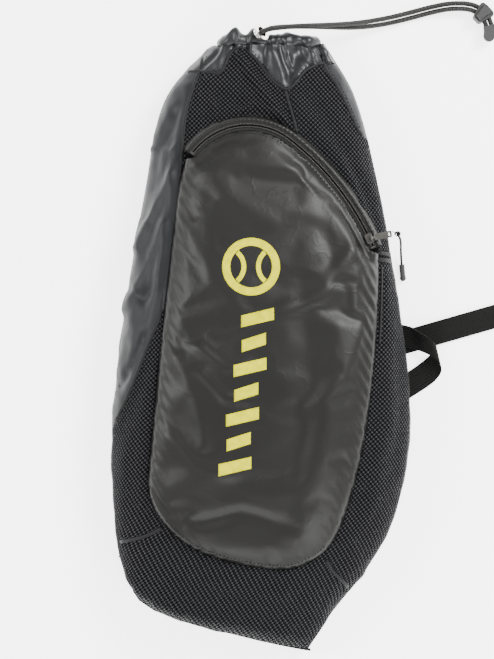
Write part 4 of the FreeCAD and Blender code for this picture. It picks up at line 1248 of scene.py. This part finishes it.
@dataclass
class Print:
    """Generic mark: a ring with two ball seams over a column of slanted bars."""

    centre: Point = (-11.7, 74.0)
    outer: float = 30.0
    inner: float = 21.5
    seam_offset: float = 27.0
    seam_inner: float = 17.0
    seam_outer: float = 22.0
    bars: int = 7
    bar_pitch: float = 25.6
    bar_lean: float = 3.9
    bar_start: Point = (-5.0, 30.0)

    def grid(self, corners: tuple[Point, Point, Point, Point], cells: tuple[int, int]) -> list[list[Point]]:
        """Plan grid between four corners."""
        (ax, ay), (bx, by), (cx, cy), (dx, dy) = corners
        rows = []
        for j in range(cells[1] + 1):
            v = j / cells[1]
            line = []
            for i in range(cells[0] + 1):
                u = i / cells[0]
                line.append((
                    (ax * (1 - u) + bx * u) * (1 - v) + (dx * (1 - u) + cx * u) * v,
                    (ay * (1 - u) + by * u) * (1 - v) + (dy * (1 - u) + cy * u) * v,
                ))
            rows.append(line)
        return rows

    def arc(self, centre: Point, r0: float, r1: float, a0: float, a1: float, steps: int) -> list[list[Point]]:
        """Plan grid of a ring or a part of one."""
        return [
            [polar(centre, r0 + (r1 - r0) * j / 4, a0 + (a1 - a0) * k / steps) for k in range(steps + 1)]
            for j in range(5)
        ]

    def build(self, tree: BVHTree) -> bpy.types.Object:
        """Lay the mark on the pocket.

        Args:
            tree: surface of the pocket front.

        Returns:
            The print.
        """
        x, y = self.centre
        sheets = [self.arc(self.centre, self.inner, self.outer, 0, 360, 84)]
        for side, first in ((-1, -50), (1, 130)):
            seam = (x + side * self.seam_offset, y)
            sheets.append(self.arc(seam, self.seam_inner, self.seam_outer, first, first + 100, 20))
        for k in range(self.bars):
            middle = self.bar_start[0] - self.bar_lean * k
            top = self.bar_start[1] - self.bar_pitch * k
            wide = 17.0 if k % 2 == 0 else 12.5
            sheets.append(self.grid((
                (middle - wide, top - 6.5), (middle + wide, top + 1.5),
                (middle + wide, top - 11.0), (middle - wide, top - 19.0),
            ), (12, 6)))
        bm = bmesh.new()
        for sheet in sheets:
            bridge(bm, [[bm.verts.new(drape(tree, px, py, 0.4) / MM) for px, py in line] for line in sheet])
        bmesh.ops.remove_doubles(bm, verts=bm.verts, dist=0.01)
        for face in bm.faces:
            face.normal_update()
            if face.normal.z < 0:
                face.normal_flip()
        obj = finish_object("front_print", bm, PRINT, "bag")
        thicken(obj, 0.12, 1.0)
        return obj


# ------------------------------------------------------------------ zip
@dataclass
class Zip:
    """Zip tapes and the moulded coil turns on them."""

    pitch: float = 1.5

    def tape(self, name: str, low: float, high: float, node: str) -> bpy.types.Object:
        """One woven tape between two offsets."""
        middle, width = (low + high) / 2, high - low
        inner, outer = zip_line(middle - 1, 70), zip_line(middle + 1, 70)
        centres, acrosses = [], []
        for (ax, ay), (bx, by) in zip(inner, outer):
            centres.append(Vector(((ax + bx) / 2, (ay + by) / 2, ZIP_Z - 0.05)))
            acrosses.append(Vector((bx - ax, by - ay, 0)))
        bm = ribbon(centres, acrosses, width, 4)
        bmesh.ops.reverse_faces(bm, faces=[f for f in bm.faces if f.normal.z < 0])
        obj = finish_object(name, bm, TAPE, "bag", (node,))
        thicken(obj, 0.9)
        return obj

    def coil(self, name: str, side: int, node: str) -> bpy.types.Object:
        """Row of coil turns along one tape."""
        bm = bmesh.new()
        steps = int(ZIP_R * math.radians(ZIP_JOIN - ZIP_FROM) / self.pitch)
        start = ZIP_FROM + 0.7
        places = [(ZIP_CENTRE, ZIP_R, start + (ZIP_JOIN - start) * k / steps) for k in range(steps)]
        steps = int(TOP_R * math.radians(TOP_TURN) / self.pitch)
        places += [(TOP_CENTRE, TOP_R, ZIP_JOIN + (TOP_TURN - 2) * k / steps) for k in range(steps + 1)]
        for centre, radius, angle in places:
            angle += (0.5 if side > 0 else 0.0) * math.degrees(self.pitch / radius)
            x, y = polar(centre, radius, angle)
            out = Vector((math.cos(math.radians(angle)), math.sin(math.radians(angle)), 0)) * side
            ahead = Vector((-out.y, out.x, 0))
            rings = []
            for reach, rise, grow in ((0.5, 0.5, 0.7), (0.8, 1.2, 1.0), (1.7, 1.55, 1.0), (2.4, 0.5, 0.8)):
                at = Vector((x, y, ZIP_Z + rise)) + out * reach
                rings.append([bm.verts.new(at + ahead * (0.48 * grow * s) + UP * (0.42 * grow * t)) for s, t in
                              ((-1, -1), (1, -1), (1, 1), (-1, 1))])
            closed_bar(bm, rings)
        bmesh.ops.recalc_face_normals(bm, faces=bm.faces)
        return finish_object(name, bm, COIL, "bag", (node,))

    def tape_ends(self, tree: BVHTree) -> bpy.types.Object:
        """Two short tape ends that curl out below the slider."""
        bm = bmesh.new()
        x0 = 121.0
        for y0 in (89.0, 82.0):
            centres = []
            for out in (0.0, 3.0, 6.0, 9.0, 12.0, 14.0):
                rest = drape(tree, x0 + out, y0 - 0.1 * out, 0.9) / MM
                rest.z += 2.2 * math.sin(out / 14 * math.pi) + 0.4
                centres.append(rest)
            part = ribbon(through(centres, 3), [Vector((0.1, 1, 0))] * 16, 4.5, 3, 0.4)
            data = bpy.data.meshes.new("tape_end")
            part.to_mesh(data)
            part.free()
            bm.from_mesh(data)
            bpy.data.meshes.remove(data)
        bm.normal_update()
        face_up(bm)
        obj = finish_object("tape_ends", bm, TAPE, "bag", ("zip_tape_ends",))
        thicken(obj, 0.8)
        return obj

    def build(self, tree: BVHTree) -> None:
        """Both tapes, both coil halves and the ends."""
        self.tape("outer_tape", 0.8, 6.5, "zip_tape_outer")
        self.tape("inner_tape", -9.5, -0.8, "zip_tape_inner")
        self.coil("coil_outer", 1, "zip_coil_outer")
        self.coil("coil_inner", -1, "zip_coil_inner")
        self.tape_ends(tree)


# ------------------------------------------------------------------ mouth
@dataclass
class Hem:
    """Gathered channel round the mouth, with the bunched cloth behind the grommet."""

    y: float = 313.0
    centre: Point = (8.0, 24.0)
    half: Point = (36.0, 4.0)
    corner: float = 13.0
    radius: float = 6.0
    peaks: tuple[tuple[float, float, float], ...] = ((-29.0, 6.0, 9.0), (-7.0, 9.0, 7.5), (26.0, 14.0, 3.0))

    def loop(self, count: int) -> list[tuple[Point, Point]]:
        """Evenly spaced points round the mouth with their outward directions, in X and Z."""
        hx, hz, r = self.half[0], self.half[1], self.corner
        runs = [(2 * hx, 0), (math.pi * r / 2, 1), (2 * hz, 2), (math.pi * r / 2, 3)] * 2
        total = sum(length for length, _ in runs)
        result = []
        for k in range(count):
            s = total * k / count
            index = 0
            while s > runs[index][0]:
                s -= runs[index][0]
                index += 1
            flip = 1 if index < 4 else -1
            kind = runs[index][1]
            if kind == 0:
                place, out = (-hx + s, hz + r), (0, 1)
            elif kind == 1:
                a = math.pi / 2 - s / r
                place, out = (hx + r * math.cos(a), hz + r * math.sin(a)), (math.cos(a), math.sin(a))
            elif kind == 2:
                place, out = (hx + r, hz - s), (1, 0)
            else:
                a = -s / r
                place, out = (hx + r * math.cos(a), -hz + r * math.sin(a)), (math.cos(a), math.sin(a))
            result.append((
                (self.centre[0] + flip * place[0], self.centre[1] + flip * place[1]),
                (flip * out[0], flip * out[1]),
            ))
        return result

    def build(self) -> bpy.types.Object:
        """The gathered tube.

        Returns:
            The hem, which stands for the CAD hem.
        """
        bm = bmesh.new()
        count, turns = 300, 16
        rings = []
        for k, ((x, z), (ox, oz)) in enumerate(self.loop(count)):
            upper = smooth(0.5 + oz)
            gather = upper * pleats(x, 307.0) + (1 - upper) * math.sin(34 * math.pi * k / count)
            peak = upper * sum(h * math.exp(-(((x - at) / w) ** 2)) for at, w, h in self.peaks)
            ring = []
            for j in range(turns):
                a = 2 * math.pi * j / turns
                grow = self.radius + gather * (1.0 + 0.4 * math.cos(a + 2)) - 0.4
                grow += 1.2 * noise.noise(Vector((x / 7, z / 7, a)))
                radial, along = grow * math.cos(a), 1.05 * grow * math.sin(a)
                y = self.y + along + peak * (0.6 + 0.5 * math.sin(a))
                ring.append(bm.verts.new((x + ox * radial, y, max(z + oz * radial, 0.5))))
            rings.append(ring)
        bridge(bm, rings + rings[:1], closed=True)
        bmesh.ops.recalc_face_normals(bm, faces=bm.faces)
        return finish_object("hem_gathers", bm, SATIN, "bag", ("collar_hem",))


# ------------------------------------------------------------------ straps and webbing
@dataclass
class Webbing:
    """A flat woven strap through frames: middle, width direction."""

    name: str
    frames: tuple[tuple[Place, Place], ...]
    node: str
    length: float
    width: float = 25.0
    thick: float = 1.3
    ripple: float = 0.0

    def build(self) -> bpy.types.Object:
        """The strap as a sheet."""
        steps = 8
        centres = through([Vector(c) for c, _ in self.frames], steps)
        acrosses = through([Vector(a) for _, a in self.frames], steps)
        for k, centre in enumerate(centres):
            centre.z += self.ripple * (1 - math.cos(2 * math.pi * k / (len(centres) - 1)))
        bm = ribbon(centres, acrosses, self.width, 8)
        bmesh.ops.recalc_face_normals(bm, faces=bm.faces)
        obj = finish_object(self.name, bm, WEBBING, "bag", (self.node,))
        thicken(obj, self.thick, 0.0)
        edge = obj.modifiers.new("edge", "BEVEL")
        edge.width = 0.3 * MM
        edge.segments = 2
        edge.limit_method = "ANGLE"
        return obj


def webbings() -> list[Webbing]:
    """Every webbing under and beside the bag, in millimetres."""
    across = (-0.545, 0.839, 0.0)
    ex, ey = 0.9613, 0.2756
    tail = tuple(((93.0 + ex * s, -21.9 + ey * s, 1.3), (-ey, ex, 0.0)) for s in (0, 50, 100, 140, 178))
    bight = (
        ((112, -80, 1.2), across), ((148, -56.6, 1.2), across), ((172, -41, 1.4), across),
        ((183, -31.5, 4.8), (-0.42, 0.9, 0.05)), ((188.6, -22.5, 11), (-0.24, 0.96, 0.1)),
        ((184, -13.5, 17.2), (-0.3, 0.93, 0.2)), ((174, -6.5, 15.3), (-0.36, 0.92, 0.12)),
        ((162, -0.5, 7.6), (-0.22, 0.97, 0.03)), ((149, 2.1, 3.0), (-0.1, 0.99, 0)),
    )
    left_lower = (((-112, -80, 1.1), (0.942, -0.336, 0)), ((-93, -26.7, 1.1), (0.942, -0.336, 0)))
    left_tail = (((-65, -14, 1.1), (1, 0.05, 0)), ((-62, -140, 1.1), (1, 0.02, 0)))
    return [
        Webbing("tail_webbing_right", tail, "right_webbing_tail", 178.0, ripple=0.6),
        Webbing("lower_webbing_right", bight, "right_lower_webbing", 140.0),
        Webbing("lower_webbing_left", left_lower, "left_lower_webbing", 56.6),
        Webbing("tail_webbing_left", left_tail, "left_webbing_tail", 126.0),
    ]


STEP_FROM, STEP_TO, STEP_TOP, STEP_HALF, STEP_SHIFT = 250.0, 258.0, 4.0, 45.0, 1.8
PIPING_FROM, PIPING_SHIFT = -75.0, 2.2
ROUNDED_FROM = -85.0
SQUARE_BASE = ((-190, -254), (-150, -274), (-100, -294), (-48, -310), (20, -326))


@dataclass
class SoftCopy:
    """A padded piece regrown from its CAD node: remeshed, rounded and quilted."""

    node: str
    name: str
    finish: Finish
    body: str
    slot: str
    voxel: float = 2.2
    also: tuple[str, ...] = ()
    swell: float = 0.5
    fill: float = 0.6
    cell: float = 9.0

    def fit(self, vert: bmesh.types.BMVert) -> None:
        """Fit a point to the rounded base and close the step behind the mouth."""
        x, y, z = vert.co / MM
        if self.node == "back_panel" and z < STEP_TOP and STEP_FROM < y < STEP_TO:
            vert.co.y += STEP_SHIFT * MM * smooth(1.6 - abs(x) / STEP_HALF)
        if self.node == "base_piping":
            vert.co.y += PIPING_SHIFT * smooth((x - PIPING_FROM) / 50) * MM
        if self.node in ("back_panel", "base_piping") and x < ROUNDED_FROM:
            cut = line_y(SQUARE_BASE, x)
            vert.co.y += max(FORM.base_y(x) - cut, 0.0) * smooth((cut + 40 - y) / 40) * MM

    def build(self) -> bpy.types.Object:
        """Regrow the piece."""
        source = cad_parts[self.node]
        bm = bmesh.new()
        if self.voxel:
            obj = link(self.name, source.data.copy())
            remesh = obj.modifiers.new("remesh", "REMESH")
            remesh.mode = "VOXEL"
            remesh.voxel_size = self.voxel * MM
            graph = bpy.context.evaluated_depsgraph_get()
            bm.from_mesh(obj.evaluated_get(graph).to_mesh())
            bpy.data.objects.remove(obj)
            for _ in range(3):
                bmesh.ops.smooth_vert(
                    bm, verts=bm.verts, factor=0.5, use_axis_x=True, use_axis_y=True, use_axis_z=True,
                )
        else:
            bm.from_mesh(source.data)
            bmesh.ops.remove_doubles(bm, verts=bm.verts, dist=0.05 * MM)
            bmesh.ops.triangulate(bm, faces=bm.faces)
            for _ in range(5):
                long = [e for e in bm.edges if e.calc_length() > self.cell * MM]
                bmesh.ops.subdivide_edges(bm, edges=long, cuts=1, use_grid_fill=True)
                bmesh.ops.triangulate(bm, faces=bm.faces)
        bm.normal_update()
        for vert in bm.verts:
            wave = noise.noise(vert.co / (18 * MM)) * self.swell
            vert.co += vert.normal * (wave * MM)
            vert.co.z = max(vert.co.z, 0.2 * MM)
            self.fit(vert)
        piece = finish_object(self.name, bm, self.finish, self.body, (self.node, *self.also), False)
        return piece


SOFT = (
    *(SoftCopy(f"{side}_shoulder_strap", f"strap_{side}", BACK, f"{side}_strap", "back_fabric", 2.2,
               (f"{side}_strap_foam",)) for side in ("right", "left")),
    SoftCopy("strap_yoke", "yoke_pad", BACK, "bag", "back_fabric", 1.2, (), 0.2, 0.4),
    *(SoftCopy(f"{side}_anchor_tab", f"anchor_{side}", WEBBING, "bag", "webbing", 0.5, (), 0.05, 0.2)
      for side in ("right", "left")),
    SoftCopy("base_piping", "base_cord_piping", PIPING, "bag", "piping", 0.7, (), 0.12, 0.9),
    SoftCopy("back_panel", "back_padding", BACK, "bag", "back_fabric", 0.0, (), 0.35, 0.3),
)

METALS = {
    "slider_body": GUNMETAL, "pull_tab": GUNMETAL, "pull_ring": CHROME, "pull_grip": RUBBER, "grommet": SILVER,
    "zip_stops": GUNMETAL, "cord_lock_body": PLASTIC, "cord_lock_button": PLASTIC, "cord_lock_spring": STEEL,
    "cord_end_sleeve": RUBBER, "right_ladder_lock": PLASTIC, "left_ladder_lock": PLASTIC,
    "right_lock_webbing": TAPE, "left_lock_webbing": TAPE, "tunnel_cord": PLASTIC,
}


def knot() -> None:
    """Small overhand knot of the pull cord on its ring."""
    x, y, z = 141.9, 109.3, 57.6
    points = []
    for k in range(22):
        a = 2 * math.pi * k / 11
        rise = 0.12 * k + 1.4 * math.sin(a * 1.5)
        points.append((x + 2.3 * math.cos(a), y + 2.1 * math.sin(a) * 0.8, z + rise))
    obj = nurbs("pull_knot", points, 2.5, 4, THIN_BRAID.material())
    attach(obj, "pull_end")


# ------------------------------------------------------------------ stage
FLOOR_DROP = 0.0004
LIGHTS = (
    ("key", (1.1, 1.0, 1.4), 0.7, 70.0), ("low", (1.0, -1.3, 1.3), 0.8, 30.0),
    ("left", (-1.5, 0.3, 1.3), 0.9, 40.0), ("back", (-0.3, -1.7, 1.2), 0.9, 25.0),
)


def set_stage() -> None:
    """Pale floor, white surroundings and soft lights."""
    bm = bmesh.new()
    bmesh.ops.create_grid(bm, x_segments=1, y_segments=1, size=6.0)
    data = bpy.data.meshes.new("floor")
    bm.to_mesh(data)
    bm.free()
    floor = link("floor", data)
    floor.location.z = -FLOOR_DROP
    material = bpy.data.materials.new("floor_white")
    material.use_nodes = True
    shader = material.node_tree.nodes["Principled BSDF"]
    shader.inputs["Base Color"].default_value = (0.94, 0.94, 0.94, 1)
    shader.inputs["Roughness"].default_value = 0.9
    shader.inputs["Emission Color"].default_value = (1, 1, 1, 1)
    shader.inputs["Emission Strength"].default_value = 3.0
    data.materials.append(material)
    world = bpy.data.worlds.new("studio")
    world.use_nodes = True
    background = world.node_tree.nodes["Background"]
    background.inputs[0].default_value = (1, 1, 1, 1)
    background.inputs[1].default_value = 0.9
    bpy.context.scene.world = world
    for name, place, size, power in LIGHTS:
        light = bpy.data.lights.new(name, "AREA")
        light.size = size
        light.energy = power
        lamp = link(name, light)
        lamp.location = place
        lamp.rotation_euler = (-Vector(place)).to_track_quat("-Z", "Y").to_euler()


def paint_nodes() -> None:
    """Finishes on the CAD nodes that stay in view."""
    for node, finish in METALS.items():
        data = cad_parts[node].data
        if not data.materials:
            data.materials.append(finish.material())
        for k in range(len(data.materials)):
            data.materials[k] = finish.material()


def main() -> None:
    """Build everything in order."""
    set_camera()
    long = CORD_A.build(BRAID.material(), "draw_cord_a", "cord_braid")
    short = CORD_B.build(BRAID.material(), "draw_cord_b", "cord_braid")
    line = PULL_CORD.build(THIN_BRAID.material(), "pull_cord", "soft_cord")
    paint_nodes()
    set_stage()
    knot()
    skin = Skin()
    panels = skin.build()
    pocket = Pocket()
    front = pocket.front()
    pocket.facing()
    shells = [panels[k] for k in ("collar", "base", "left_side", "left_mesh", "strip", "front", "right_mesh")]
    tree = tree_of(*shells)
    over = tree_of(front)
    Zip().build(tree)
    Hem().build()
    for webbing in webbings():
        webbing.build()
    for soft in SOFT:
        soft.build()
    seams = {
        "collar_seam": skin.collar, "left_edge_seam": skin.left, "base_left_seam": skin.base_left[:13],
        "base_right_seam": skin.base_right[4:], "strip_seam": skin.strip, "front_seam": skin.front[:6],
    }
    for name, path in seams.items():
        Seam(name, path, welt=4.0).band(tree, PIPING)
        Seam(name, path, offset=3.2).stitches(tree)
    zipped, sewn = pocket.edge()
    Seam("pocket_edge", sewn, offset=4.0).stitches(over)
    edging = curved([(125, 84), (125, 60), (124, 30), (122.5, 0), (117, -50)], 5)
    Seam("pocket_piping", edging, welt=3.0).band(tree, PIPING)
    Seam("pocket_lip", zipped, offset=3.0, stitch=2.2, gap=1.2).stitches(over)
    Print().build(over)


if __name__ == "__main__":
    main()
